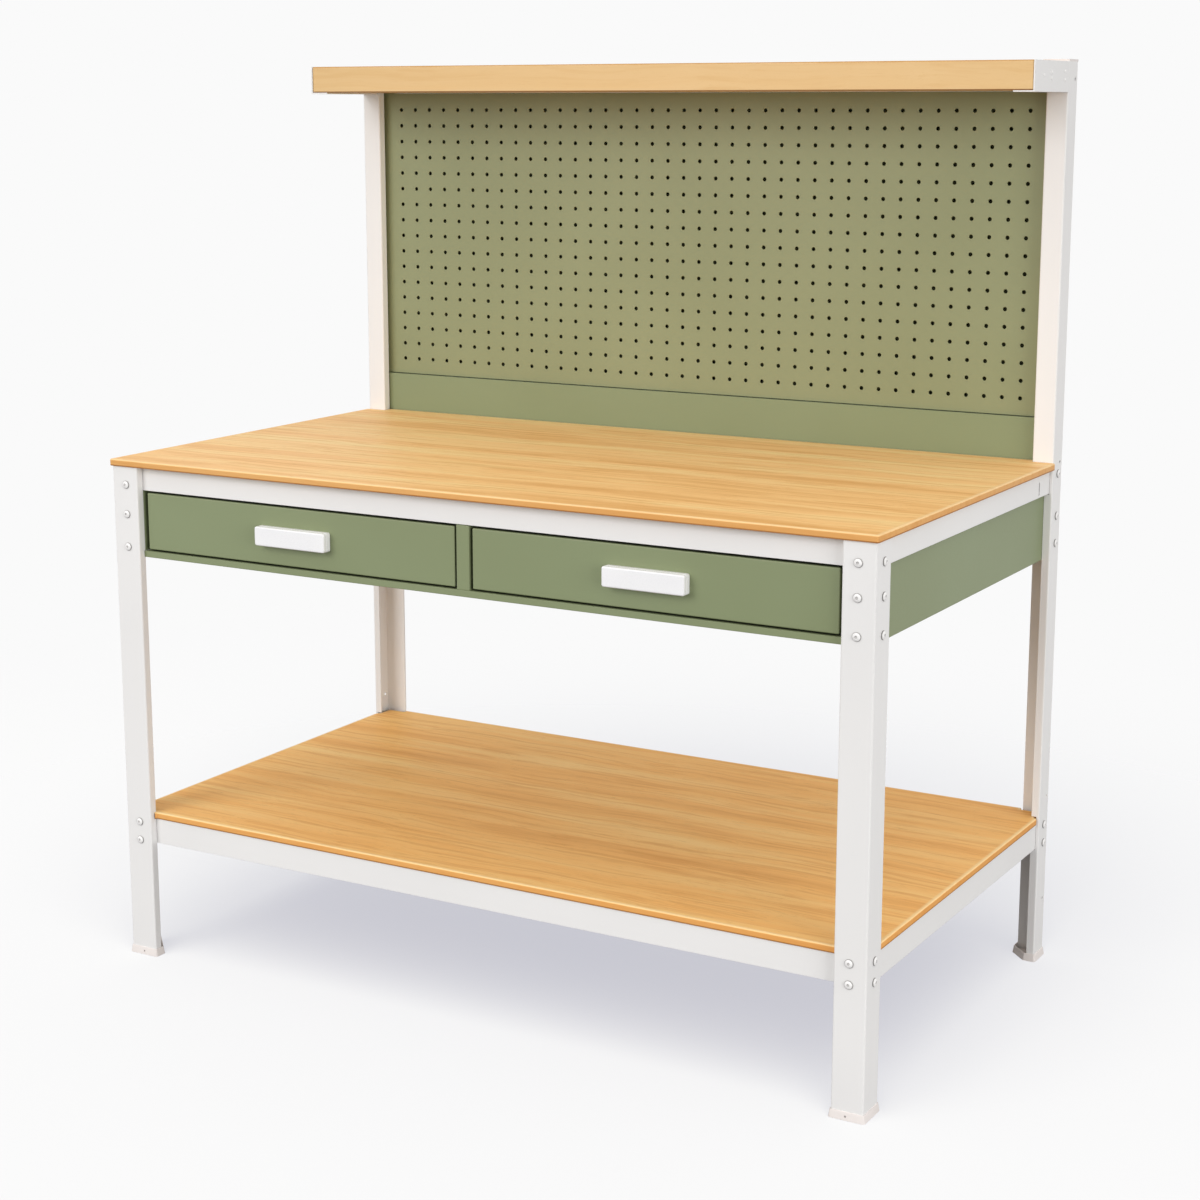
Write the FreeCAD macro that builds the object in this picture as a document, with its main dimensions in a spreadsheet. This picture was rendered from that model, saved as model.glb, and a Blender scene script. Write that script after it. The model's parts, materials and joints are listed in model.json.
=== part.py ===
"""Steel workbench with a pegboard back, a wooden worktop, a shelf and two drawers.

Frame: millimetres, +Z up, +X to the right, the user stands on the -Y side. The origin is on the
floor, in the middle of the bench's width and depth.
"""
import FreeCAD
import Part
import Sketcher
import math
import os
import re

# Driving dimensions: name, value in mm, meaning.
SIZES = [
    ("bench_width", 1200, "width of the worktop"),
    ("bench_depth", 680, "depth from the worktop's front edge to the rear bolt heads"),
    ("bench_height", 1315, "floor to the top of the upright caps"),
    ("frame_inset", 3, "how far the frame's outer faces stand inside the worktop's edges"),
    ("fit_gap", 0.3, "clearance between fixed pieces that slip past each other"),
    ("worktop_height", 752, "floor to the worktop's upper face"),
    ("worktop_thickness", 10, "worktop board"),
    ("worktop_arris", 2, "rounding of the worktop's upper edges"),
    ("leg_width", 45, "each side of a front leg"),
    ("leg_sheet", 1.5, "sheet of the legs and uprights"),
    ("leg_front_lip", 12, "return lip on the front flange's inner edge"),
    ("leg_side_lip", 4.5, "return lip on the side flange's rear edge"),
    ("inner_bend", 0.8, "inside radius of a bend"),
    ("upright_depth", 38, "upright, front to back"),
    ("upright_rear_width", 38, "upright's rear flange"),
    ("upright_front_width", 30, "upright's front flange above the worktop"),
    ("upright_return_lip", 14, "return lip of the upright's front flange"),
    ("upright_low_lip", 12, "upright's front flange below the worktop"),
    ("spare_hole", 5, "open spare holes in the uprights"),
    ("spare_hole_edge", 10, "spare holes, from the upright's rear face"),
    ("spare_hole_top", 27, "top spare hole, below the bench's top"),
    ("spare_hole_worktop", 8, "spare hole above the worktop's underside"),
    ("spare_hole_shelf", 27, "spare hole above the shelf"),
    ("spare_hole_low", 91, "lowest spare hole, above the floor"),
    ("cap_plate", 3, "plate of the upright caps"),
    ("cap_plug", 12, "depth of the caps' plug inside the upright"),
    ("cap_plug_width", 18, "width of the caps' plug"),
    ("foot_sole", 3, "sole of a foot"),
    ("foot_height", 11, "height of a foot"),
    ("foot_wall", 3, "wall of a foot on the floor"),
    ("foot_rim", 1, "wall of a foot at its top"),
    ("foot_short_side", 16, "short sides of a foot beside its slanted corner"),
    ("foot_pin_hole", 3, "pin hole in a front foot"),
    ("foot_pin_height", 5, "pin hole above the floor"),
    ("rail_sheet", 1.5, "sheet of the rails and crossbars"),
    ("rail_flange", 20, "depth of the rails' flanges"),
    ("rail_end_gap", 1, "front and rear rails' ends, from the side rails"),
    ("worktop_rail_height", 34.5, "rails under the worktop"),
    ("shelf_rail_height", 38, "rails under the shelf"),
    ("crossbar_width", 50, "crossbars"),
    ("rail_slot_width", 4, "slot in the worktop's side rails"),
    ("rail_slot_height", 18.5, "slot in the worktop's side rails"),
    ("rail_slot_lift", 3.5, "slot above the rail's lower edge"),
    ("rail_slot_setback", 45, "slot, ahead of the upright"),
    ("shelf_height", 223, "floor to the shelf's upper face"),
    ("shelf_thickness", 10, "shelf board"),
    ("shelf_notch_gap", 1.5, "gap between the shelf's notches and the posts"),
    ("shelf_inset", 3, "shelf's side edges inside the posts' outer faces"),
    ("shelf_overhang", 1.8, "shelf's front edge ahead of its front rail"),
    ("bolt_shank", 6, "frame bolts"),
    ("bolt_hole", 6.5, "clearance holes of the frame bolts"),
    ("bolt_head", 12, "head diameter"),
    ("bolt_head_height", 3, "head height"),
    ("bolt_length", 11, "under the head"),
    ("nut_width", 10, "nut across flats"),
    ("nut_height", 5, "nut"),
    ("bolt_edge", 24, "bolts, from the outer corner of a leg"),
    ("upright_bolt_edge", 17, "side bolts, from the upright's rear face"),
    ("worktop_bolt_edge", 8, "worktop rails' bolts, from the rails' lower edge, at the back the upper"),
    ("shelf_bolt_edge", 5, "shelf rails' bolts, from the rails' edges"),
    ("case_bolt_drop", 34.5, "upper case bolt below the case's top"),
    ("case_bolt_rise", 5.5, "lower front case bolt above the case's floor"),
    ("case_rear_bolt_rise", 13.5, "lower rear case bolt above the case's floor"),
    ("case_sheet", 1.2, "sheet of the drawer case"),
    ("case_gap", 0.5, "case below the worktop's rails"),
    ("case_height", 88, "case, between its bottom rail and its top"),
    ("case_bottom_height", 9, "case's bottom rail"),
    ("case_bottom_depth", 15, "case's bottom rail, front to back"),
    ("case_bottom_lead", 2.5, "case's bottom rail, ahead of the drawers' fronts"),
    ("case_setback", 69, "case's back, ahead of the frame's rear faces"),
    ("case_flange", 12, "flanges of the case's back"),
    ("divider_width", 20, "divider between the drawers"),
    ("divider_lead", 1.5, "divider ahead of the drawers' fronts"),
    ("drawer_top_gap", 3.5, "gap above a drawer's front"),
    ("drawer_low_gap", 2.5, "gap below a drawer's front"),
    ("drawer_end_gap", 7.5, "gap between a drawer's front and the leg beside it"),
    ("drawer_side_gap", 4, "gap between a drawer's front and the divider"),
    ("drawer_sheet", 1.2, "sheet of the drawers"),
    ("drawer_fold", 16, "depth of a front's folded edges"),
    ("drawer_arris", 1.5, "rounding of a front's edges"),
    ("tray_rear_gap", 31.5, "drawer tray, ahead of the case's back"),
    ("tray_height", 58, "drawer tray"),
    ("tray_rise", 8, "tray above the case's floor"),
    ("tray_hem", 6, "inward hem on the tray's sides"),
    ("handle_length", 120, "handle"),
    ("handle_height", 27, "handle"),
    ("handle_depth", 15, "handle, out from the drawer's front"),
    ("handle_round", 4, "rounding of the handle's front"),
    ("handle_wall", 3.5, "handle's front and top walls"),
    ("handle_back", 2.5, "handle's back wall"),
    ("handle_end", 14, "handle's solid ends"),
    ("handle_screw", 4, "handle screws"),
    ("handle_screw_inset", 7, "handle screws, from the handle's ends"),
    ("handle_screw_grip", 8, "thread in the handle"),
    ("handle_screw_head", 8, "head diameter"),
    ("handle_screw_head_height", 2.4, "head height"),
    ("slide_width", 12.7, "a closed slide, side to side"),
    ("slide_height", 35, "a slide's cabinet member"),
    ("slide_rear_gap", 41.2, "slides, ahead of the tray's rear, which leaves 500 for them"),
    ("slide_setback", 4, "slides behind a drawer front's folded edge"),
    ("slide_sheet", 1.2, "sheet of the slide members"),
    ("slide_ball_gap", 1.8, "gap for the balls between members"),
    ("slide_web_gap", 1.1, "gap between the members' webs"),
    ("slide_cabinet_gap", 2.7, "cabinet member's flanges, short of the tray"),
    ("slide_middle_gap", 1.4, "middle member's flanges, short of the tray"),
    ("slide_inner_gap", 1.2, "inner member's flanges, short of the middle member's web"),
    ("slide_lift", 28, "slide's middle above the tray's bottom"),
    ("panel_sheet", 1.2, "sheet of the back panels"),
    ("panel_side_gap", 5.5, "back panels' edges inside the uprights' webs"),
    ("peg_recess", 21, "pegboard's face behind the uprights' front faces"),
    ("peg_lift", 62, "pegboard's lower edge above the worktop"),
    ("peg_top_gap", 2, "pegboard below the top board"),
    ("peg_hole", 6, "peg holes"),
    ("peg_pitch_across", 27.5, "peg holes, side to side"),
    ("peg_pitch_up", 25.4, "peg holes, up and down"),
    ("peg_field_lift", 24.6, "lowest peg holes above the pegboard's lower edge"),
    ("peg_top_edge", 20, "least from the top peg holes' middles to the pegboard's edge"),
    ("peg_side_edge", 45, "least from the outer peg holes' middles to the pegboard's edges"),
    ("low_panel_recess", 16, "lower panel's face behind the uprights' front faces"),
    ("low_panel_gap", 1, "lower panel above the rear rail, and below the pegboard"),
    ("low_panel_lip", 12, "lower panel's rear lips"),
    ("panel_screw", 4, "panel screws"),
    ("panel_screw_head", 8, "head diameter"),
    ("panel_screw_head_height", 2.5, "head height"),
    ("panel_screw_length", 6, "under the head"),
    ("panel_screw_inset", 22, "panel screws, from the uprights' outer faces"),
    ("pan_screw_inset", 26, "end screws of the pegboard's back, from its edges"),
    ("top_thickness", 40, "top board"),
    ("top_reach", 139, "top board ahead of the uprights"),
    ("top_arris", 2, "rounding of the top board's front edges"),
    ("top_rear_gap", 1.5, "top board's rear edge ahead of the uprights' rear faces"),
    ("bracket_plate", 2, "plate of the top board's end brackets"),
    ("bracket_flange", 30, "brackets' flange under the board"),
    ("bracket_screw", 3.5, "bracket screws"),
    ("bracket_screw_hole", 4, "clearance holes of the bracket screws"),
    ("bracket_screw_head", 5, "head diameter"),
    ("bracket_screw_head_height", 1.5, "head height"),
    ("bracket_screw_length", 25, "under the head"),
    ("bracket_screw_first", 35, "first screw behind the bracket's front edge"),
    ("bracket_screw_second", 66, "second pair of screws behind the same edge"),
    ("bracket_screw_third", 16, "third pair of screws, ahead of the uprights"),
    ("bracket_pair_gap", 8, "between the screws of the second pair"),
    ("bracket_last_gap", 12, "between the screws of the third pair"),
]
PAN_SCREW_ROWS = 4
# Share of a bolt head's height that is straight, below the dome.
HEAD_RIM = 0.3

# Places that follow from the dimensions: name, formula.
PLACES = [
    ("half_width", "bench_width / 2"),
    ("front_edge", "0 - bench_depth / 2"),
    ("side_face", "half_width - frame_inset"),
    ("front_face", "front_edge + frame_inset"),
    ("rear_face", "bench_depth / 2 - frame_inset"),
    ("outer_bend", "inner_bend + leg_sheet"),
    ("side_inside", "side_face - leg_sheet"),
    ("front_inside", "front_face + leg_sheet"),
    ("rear_inside", "rear_face - leg_sheet"),
    ("leg_inner_edge", "side_face - leg_width"),
    ("leg_lip_inside", "leg_inner_edge + leg_sheet"),
    ("leg_rear_edge", "front_face + leg_width"),
    ("leg_rear_inside", "leg_rear_edge - leg_sheet"),
    ("upright_front", "rear_face - upright_depth"),
    ("upright_front_inside", "upright_front + leg_sheet"),
    ("upright_inner_edge", "side_face - upright_rear_width"),
    ("upright_front_edge", "side_face - upright_front_width"),
    ("return_lip_edge", "upright_front_edge - leg_sheet"),
    ("worktop_under", "worktop_height - worktop_thickness"),
    ("upright_top", "bench_height - cap_plate"),
    ("side_rail_face", "side_face - leg_side_lip - fit_gap"),
    ("front_rail_face", "front_face + leg_front_lip + fit_gap"),
    ("front_step", "leg_lip_inside + fit_gap"),
    ("side_step", "leg_rear_inside - fit_gap"),
    ("upright_step", "upright_front_inside + fit_gap"),
    ("tab_end", "side_inside - rail_sheet - rail_end_gap"),
    ("worktop_rail_bottom", "worktop_under - worktop_rail_height"),
    ("shelf_under", "shelf_height - shelf_thickness"),
    ("shelf_rail_bottom", "shelf_under - shelf_rail_height"),
    ("rail_slot_place", "upright_front - rail_slot_setback"),
    ("rail_slot_low", "worktop_rail_bottom + rail_slot_lift"),
    ("leg_bolt_across", "side_face - bolt_edge"),
    ("leg_bolt_back", "front_face + bolt_edge"),
    ("upright_bolt_back", "rear_face - upright_bolt_edge"),
    ("worktop_bolt", "worktop_rail_bottom + worktop_bolt_edge"),
    ("worktop_rear_bolt", "worktop_under - worktop_bolt_edge"),
    ("shelf_bolt_high", "shelf_under - shelf_bolt_edge"),
    ("shelf_bolt_low", "shelf_rail_bottom + shelf_bolt_edge"),
    ("case_top", "worktop_rail_bottom - case_gap"),
    ("case_base", "case_top - case_height"),
    ("case_bottom", "case_base - case_bottom_height"),
    ("case_bottom_face", "front_rail_face - case_bottom_lead"),
    ("case_bottom_rear", "case_bottom_face + case_bottom_depth"),
    ("case_rear", "rear_face - case_setback"),
    ("case_bolt_high", "case_top - case_bolt_drop"),
    ("case_bolt_low", "case_base + case_bolt_rise"),
    ("case_rear_bolt", "case_base + case_rear_bolt_rise"),
    ("case_wall", "side_face - upright_low_lip - fit_gap"),
    ("case_wall_inside", "case_wall - case_sheet"),
    ("case_bend", "inner_bend + case_sheet"),
    ("rail_bend", "inner_bend + rail_sheet"),
    ("divider_half", "divider_width / 2"),
    ("divider_face", "front_rail_face - divider_lead"),
    ("drawer_near", "divider_half + drawer_side_gap"),
    ("drawer_far", "leg_inner_edge - drawer_end_gap"),
    ("drawer_low", "case_base + drawer_low_gap"),
    ("drawer_high", "worktop_rail_bottom - drawer_top_gap"),
    ("drawer_inside", "front_rail_face + drawer_sheet"),
    ("drawer_back", "front_rail_face + drawer_fold"),
    ("tray_near", "divider_half + slide_width"),
    ("tray_far", "leg_inner_edge - slide_width"),
    ("tray_middle", "(tray_near + tray_far) / 2"),
    ("tray_low", "case_base + tray_rise"),
    ("tray_high", "tray_low + tray_height"),
    ("tray_rear", "case_rear - tray_rear_gap"),
    ("handle_middle", "(drawer_near + drawer_far) / 2"),
    ("handle_level", "(drawer_low + drawer_high) / 2"),
    ("handle_front", "front_rail_face - handle_depth"),
    ("handle_low", "handle_level - handle_height / 2"),
    ("handle_high", "handle_level + handle_height / 2"),
    ("handle_screw_reach", "handle_length / 2 - handle_screw_inset"),
    ("slide_level", "tray_low + slide_lift"),
    ("slide_front", "drawer_back + slide_setback"),
    ("slide_rear", "tray_rear - slide_rear_gap"),
    ("slide_flange", "slide_width - slide_cabinet_gap"),
    ("slide_middle_flange", "slide_width - slide_sheet - slide_web_gap - slide_middle_gap"),
    ("slide_inner_flange", "slide_width - 2 * slide_sheet - slide_web_gap - slide_inner_gap"),
    ("middle_web", "leg_inner_edge - slide_sheet - slide_web_gap"),
    ("middle_half", "slide_height / 2 - slide_sheet - slide_ball_gap"),
    ("inner_half", "middle_half - slide_sheet - slide_ball_gap"),
    ("panel_edge", "side_inside - panel_side_gap"),
    ("peg_face", "upright_front + peg_recess"),
    ("peg_back", "peg_face + panel_sheet"),
    ("top_under", "upright_top - top_thickness"),
    ("peg_bottom", "worktop_height + peg_lift"),
    ("peg_top", "top_under - peg_top_gap"),
    ("pan_screw_low", "peg_bottom + pan_screw_inset"),
    ("pan_screw_high", "peg_top - pan_screw_inset"),
    ("peg_lowest", "peg_bottom + peg_field_lift"),
    ("peg_column_room", "2 * panel_edge - 2 * peg_side_edge"),
    ("peg_row_room", "peg_top - peg_top_edge - peg_lowest"),
    ("low_panel_face", "upright_front + low_panel_recess"),
    ("low_panel_bottom", "worktop_under + low_panel_gap"),
    ("low_panel_top", "peg_bottom - low_panel_gap"),
    ("pan_inside", "rear_inside - panel_sheet"),
    ("panel_screw_across", "side_face - panel_screw_inset"),
    ("top_front", "upright_front - top_reach"),
    ("bracket_inside", "side_face - bracket_plate"),
    ("bracket_bottom", "top_under - bracket_plate"),
    ("bracket_rear_inside", "upright_front - bracket_plate"),
    ("top_middle", "top_under + top_thickness / 2"),
]

doc = FreeCAD.newDocument("Workbench")


def fill_sheet(name, rows):
    """A sheet with a note in column A and a cell with an alias in column B."""
    sheet = doc.addObject("Spreadsheet::Sheet", name)
    for line, (alias, content, note) in enumerate(rows, start=1):
        sheet.set("A%d" % line, note)
        sheet.set("B%d" % line, content)
        sheet.setAlias("B%d" % line, alias)
    doc.recompute()
    return sheet


SHEET_OF = dict([(row[0], "Sizes") for row in SIZES] + [(row[0], "Places") for row in PLACES])


def full(text):
    """The same formula with each size's and place's sheet in front of its name."""
    return re.sub(r"[a-z_]{3,}", lambda m: SHEET_OF[m.group()] + "." + m.group(), text)


sizes = fill_sheet("Sizes", [(alias, str(number), note) for alias, number, note in SIZES])
places = fill_sheet("Places", [(alias, "=" + full(text), text) for alias, text in PLACES])


def value(text):
    """The number that a formula gives."""
    return float(places.evalExpression(full(text)))


def minus(text):
    return "0 - (%s)" % text


def mirrored(chain):
    """Closed outline from its right half, as a chain of corners, and the chain's mirror image."""
    return chain + [(minus(across), up) for across, up in reversed(chain)]


def rectangle(left, right, bottom, top):
    return [(left, bottom), (right, bottom), (right, top), (left, top)]


def new_body(label):
    body = doc.addObject("PartDesign::Body", label)
    body.Label = label
    return body


def new_sketch(body, name, role, level):
    """Sketch on one of the body's origin planes, moved along the plane's normal to a level."""
    sketch = body.newObject("Sketcher::SketchObject", name)
    plane = [feature for feature in body.Origin.OriginFeatures if feature.Role == role][0]
    sketch.AttachmentSupport = [(plane, "")]
    sketch.MapMode = "FlatFace"
    sketch.setExpression("AttachmentOffset.Base.z", full(level))
    return sketch


def dimension(sketch, kind, geometry, point, text):
    index = sketch.addConstraint(Sketcher.Constraint(kind, geometry, point, value(text)))
    sketch.setExpression("Constraints[%d]" % index, full(text))


def add_outline(sketch, corners):
    """Closed outline, each corner dimensioned from the sketch's origin or in line with the last."""
    points = [FreeCAD.Vector(value(across), value(up), 0) for across, up in corners]
    first = sketch.GeometryCount
    count = len(points)
    for i in range(count):
        sketch.addGeometry(Part.LineSegment(points[i], points[(i + 1) % count]), False)
    for i in range(count):
        follower = first + (i + 1) % count
        sketch.addConstraint(Sketcher.Constraint("Coincident", first + i, 2, follower, 1))
    for i in range(count):
        for way, kind, line_kind in ((0, "DistanceX", "Vertical"), (1, "DistanceY", "Horizontal")):
            if i > 0 and corners[i][way] == corners[i - 1][way]:
                sketch.addConstraint(Sketcher.Constraint(line_kind, first + i - 1))
            else:
                dimension(sketch, kind, first + i, 1, corners[i][way])


def add_circles(sketch, diameter, centres):
    for i, (across, up) in enumerate(centres):
        centre = FreeCAD.Vector(value(across), value(up), 0)
        radius = value(diameter) / 2
        index = sketch.addGeometry(Part.Circle(centre, FreeCAD.Vector(0, 0, 1), radius), False)
        dimension(sketch, "DistanceX", index, 3, across)
        dimension(sketch, "DistanceY", index, 3, up)
        if i == 0:
            place = sketch.addConstraint(Sketcher.Constraint("Diameter", index, 2 * radius))
            sketch.setExpression("Constraints[%d]" % place, full(diameter))
        else:
            sketch.addConstraint(Sketcher.Constraint("Equal", 0, index))


# Each plane's normal points along +X or +Z, but the XZ plane's points along -Y.
def pad(body, name, role, low, high, outlines):
    """Solid between two levels along the axis that the plane lacks."""
    level = minus(high) if role == "XZ_Plane" else low
    sketch = new_sketch(body, name + "Sketch", role, level)
    for corners in outlines:
        add_outline(sketch, corners)
    feature = body.newObject("PartDesign::Pad", name)
    feature.Profile = sketch
    feature.setExpression("Length", full("%s - (%s)" % (high, low)))
    body.Tip = feature
    return feature


def new_pocket(body, name, role, low, high):
    level = minus(low) if role == "XZ_Plane" else high
    sketch = new_sketch(body, name + "Sketch", role, level)
    feature = body.newObject("PartDesign::Pocket", name)
    feature.Profile = sketch
    feature.setExpression("Length", full("%s - (%s)" % (high, low)))
    body.Tip = feature
    return sketch


def pocket(body, name, role, low, high, outlines):
    """Cut between two levels along the axis that the plane lacks."""
    sketch = new_pocket(body, name, role, low, high)
    for corners in outlines:
        add_outline(sketch, corners)


def holes(body, name, role, low, high, diameter, centres):
    sketch = new_pocket(body, name, role, low, high)
    add_circles(sketch, diameter, centres)


def edge_names(shape, axis, spots):
    """Names of the straight edges along an axis that stand at the given places."""
    others = [way for way in (0, 1, 2) if way != axis]
    wanted = [(value(one), value(two)) for one, two in spots]
    names = []
    for number, edge in enumerate(shape.Edges, start=1):
        ends = [vertex.Point for vertex in edge.Vertexes]
        if len(ends) != 2 or edge.Curve.TypeId != "Part::GeomLine":
            continue
        if abs(ends[0][others[0]] - ends[1][others[0]]) > 1e-5:
            continue
        if abs(ends[0][others[1]] - ends[1][others[1]]) > 1e-5:
            continue
        for one, two in wanted:
            if abs(ends[0][others[0]] - one) < 1e-3 and abs(ends[0][others[1]] - two) < 1e-3:
                names.append("Edge%d" % number)
    return names


def fillet(body, name, radius, axis, spots):
    """Rounded edges, picked by the axis they run along and by their place across it."""
    base = body.Tip
    doc.recompute()
    names = edge_names(base.Shape, axis, spots)
    if not names:
        raise ValueError("no edge to round in " + body.Label)
    feature = body.newObject("PartDesign::Fillet", name)
    feature.Base = (base, names)
    feature.setExpression("Radius", full(radius))
    body.Tip = feature


def mirror(source, label, place="0 * bench_width"):
    """The same piece turned over across a plane x = place."""
    twin = doc.addObject("Part::Mirroring", label)
    twin.Label = label
    twin.Source = source
    twin.Normal = (1, 0, 0)
    twin.setExpression("Base.x", full(place))
    return twin


nodes = []


def keep(*pieces):
    nodes.extend(pieces)
    return pieces[0]


# Front legs: angles with a return lip on both free edges.
leg = new_body("front_right_leg")
pad(leg, "Profile", "XY_Plane", "foot_sole", "worktop_under", [[
    ("leg_inner_edge", "front_face"),
    ("side_face", "front_face"),
    ("side_face", "leg_rear_edge"),
    ("side_face - leg_side_lip", "leg_rear_edge"),
    ("side_face - leg_side_lip", "leg_rear_inside"),
    ("side_inside", "leg_rear_inside"),
    ("side_inside", "front_inside"),
    ("leg_lip_inside", "front_inside"),
    ("leg_lip_inside", "front_face + leg_front_lip"),
    ("leg_inner_edge", "front_face + leg_front_lip"),
]])
LEG_BOLTS = ["worktop_bolt", "case_bolt_high", "case_bolt_low", "shelf_bolt_high", "shelf_bolt_low"]
holes(leg, "FrontHoles", "XZ_Plane", "front_face", "front_inside", "bolt_hole",
      [("leg_bolt_across", level) for level in LEG_BOLTS])
holes(leg, "SideHoles", "YZ_Plane", "side_inside", "side_face", "bolt_hole",
      [("leg_bolt_back", level) for level in LEG_BOLTS])
fillet(leg, "OuterBends", "outer_bend", 2, [
    ("leg_inner_edge", "front_face"),
    ("side_face", "front_face"),
    ("side_face", "leg_rear_edge"),
])
fillet(leg, "InnerBends", "inner_bend", 2, [
    ("side_inside", "leg_rear_inside"),
    ("side_inside", "front_inside"),
    ("leg_lip_inside", "front_inside"),
])
keep(leg, mirror(leg, "front_left_leg"))

# Rear uprights: lipped channels, whose front flange is cut back below the worktop.
upright = new_body("rear_right_upright")
pad(upright, "Profile", "XY_Plane", "foot_sole", "upright_top", [[
    ("upright_inner_edge", "rear_face"),
    ("side_face", "rear_face"),
    ("side_face", "upright_front"),
    ("return_lip_edge", "upright_front"),
    ("return_lip_edge", "upright_front + upright_return_lip"),
    ("upright_front_edge", "upright_front + upright_return_lip"),
    ("upright_front_edge", "upright_front_inside"),
    ("side_inside", "upright_front_inside"),
    ("side_inside", "rear_inside"),
    ("upright_inner_edge", "rear_inside"),
]])
pocket(upright, "LowTrim", "XY_Plane", "foot_sole", "worktop_under", [rectangle(
    "return_lip_edge - leg_sheet", "side_face - upright_low_lip",
    "upright_front - leg_sheet", "upright_front + upright_return_lip + leg_sheet")])
pocket(upright, "RailNotches", "YZ_Plane", "side_face - upright_low_lip - leg_sheet",
       "side_face - leg_side_lip", [
           rectangle("upright_front - leg_sheet", "upright_front_inside",
                     "worktop_rail_bottom - leg_sheet", "worktop_under"),
           rectangle("upright_front - leg_sheet", "upright_front_inside",
                     "shelf_rail_bottom - leg_sheet", "shelf_height + leg_sheet"),
       ])
SIDE_BOLTS = ["worktop_rear_bolt", "case_bolt_high", "case_rear_bolt", "shelf_bolt_high",
              "shelf_bolt_low"]
REAR_BOLTS = ["worktop_rear_bolt", "shelf_bolt_high", "shelf_bolt_low"]
holes(upright, "SideHoles", "YZ_Plane", "side_inside", "side_face", "bolt_hole",
      [("upright_bolt_back", level) for level in SIDE_BOLTS])
holes(upright, "RearHoles", "XZ_Plane", "rear_inside", "rear_face", "bolt_hole",
      [("leg_bolt_across", level) for level in REAR_BOLTS])
holes(upright, "SpareHoles", "YZ_Plane", "side_inside", "side_face", "spare_hole", [
    ("rear_face - spare_hole_edge", "bench_height - spare_hole_top"),
    ("rear_face - spare_hole_edge", "worktop_under + spare_hole_worktop"),
    ("rear_face - spare_hole_edge", "shelf_height + spare_hole_shelf"),
    ("rear_face - spare_hole_edge", "spare_hole_low"),
])
PAN_SCREWS = ["pan_screw_low + (pan_screw_high - pan_screw_low) * %d / %d"
              % (row, PAN_SCREW_ROWS - 1) for row in range(PAN_SCREW_ROWS)]
LOW_PANEL_SCREWS = ["low_panel_bottom + low_panel_lip / 2", "low_panel_top - low_panel_lip / 2"]
holes(upright, "PanelHoles", "XZ_Plane", "rear_inside", "rear_face", "panel_screw",
      [("panel_screw_across", level) for level in PAN_SCREWS + LOW_PANEL_SCREWS])
fillet(upright, "OuterBends", "outer_bend", 2, [
    ("side_face", "rear_face"),
    ("side_face", "upright_front"),
    ("return_lip_edge", "upright_front"),
])
keep(upright, mirror(upright, "rear_left_upright"))


# Feet: plastic shoes that hold the posts' ends, wider at the floor, with a slanted inner corner.
def foot(label, face, towards, wide, deep):
    """Shoe whose outer corner is at the side face and at face, and which reaches back by deep."""
    def back(text):
        return "%s %s (%s)" % (face, towards, text)
    far = "%s + fit_gap" % deep
    near = "side_face - %s - fit_gap" % wide
    body = new_body(label)
    shoe = pad(body, "Shoe", "XY_Plane", "0 * foot_sole", "foot_height", [[
        (near + " - foot_wall", back("0 - foot_wall")),
        ("side_face + foot_wall", back("0 - foot_wall")),
        ("side_face + foot_wall", back(far + " + foot_wall")),
        ("side_face - foot_short_side", back(far + " + foot_wall")),
        (near + " - foot_wall", back("foot_short_side")),
    ]])
    lean = full("(foot_rim - foot_wall) / foot_height")
    shoe.setExpression("TaperAngle", "atan(%s)" % lean)
    pocket(body, "Socket", "XY_Plane", "foot_sole", "foot_height", [[
        (near, back("0 * foot_wall")),
        ("side_face", back("0 * foot_wall")),
        ("side_face", back(far)),
        ("side_face - foot_short_side", back(far)),
        (near, back("foot_short_side")),
    ]])
    return body


front_foot = foot("front_right_foot", "front_face", "+", "leg_width", "leg_width")
holes(front_foot, "PinHole", "XZ_Plane", "front_face - foot_wall", "front_face", "foot_pin_hole",
      [("leg_bolt_across", "foot_pin_height")])
keep(front_foot, mirror(front_foot, "front_left_foot"))
rear_foot = foot("rear_right_foot", "rear_face", "-", "upright_rear_width", "upright_depth")
keep(rear_foot, mirror(rear_foot, "rear_left_foot"))

# Caps that close the uprights' tops, each with a plug in the channel.
cap = new_body("right_upright_cap")
pad(cap, "Plate", "XY_Plane", "upright_top", "bench_height", [rectangle(
    "upright_inner_edge", "side_face", "upright_front", "rear_face")])
pad(cap, "Plug", "XY_Plane", "upright_top - cap_plug", "upright_top", [rectangle(
    "side_inside - cap_plug_width", "side_inside", "upright_front_inside", "rear_inside")])
keep(cap, mirror(cap, "left_upright_cap"))


# Front rails: channels behind the legs' lips, with ends set forward against the legs.
def front_rail(label, bottom, top, bolts):
    body = new_body(label)
    pad(body, "Web", "XY_Plane", bottom, top, [mirrored([
        ("front_step", "front_rail_face"),
        ("front_step", "front_inside"),
        ("tab_end", "front_inside"),
        ("tab_end", "front_inside + rail_sheet"),
        ("front_step + rail_sheet", "front_inside + rail_sheet"),
        ("front_step + rail_sheet", "front_rail_face + rail_sheet"),
    ])])
    fillet(body, "Bends", "rail_bend", 2, [
        ("front_step", "front_inside"),
        (minus("front_step"), "front_inside"),
    ])
    flange = rectangle(minus("front_step"), "front_step",
                       "front_rail_face", "front_rail_face + rail_flange")
    pad(body, "TopFlange", "XY_Plane", top + " - rail_sheet", top, [flange])
    pad(body, "BottomFlange", "XY_Plane", bottom, bottom + " + rail_sheet", [flange])
    centres = [("leg_bolt_across", level) for level in bolts]
    centres += [(minus("leg_bolt_across"), level) for level in bolts]
    holes(body, "BoltHoles", "XZ_Plane", "front_inside", "front_inside + rail_sheet",
          "bolt_hole", centres)
    return body


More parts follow.
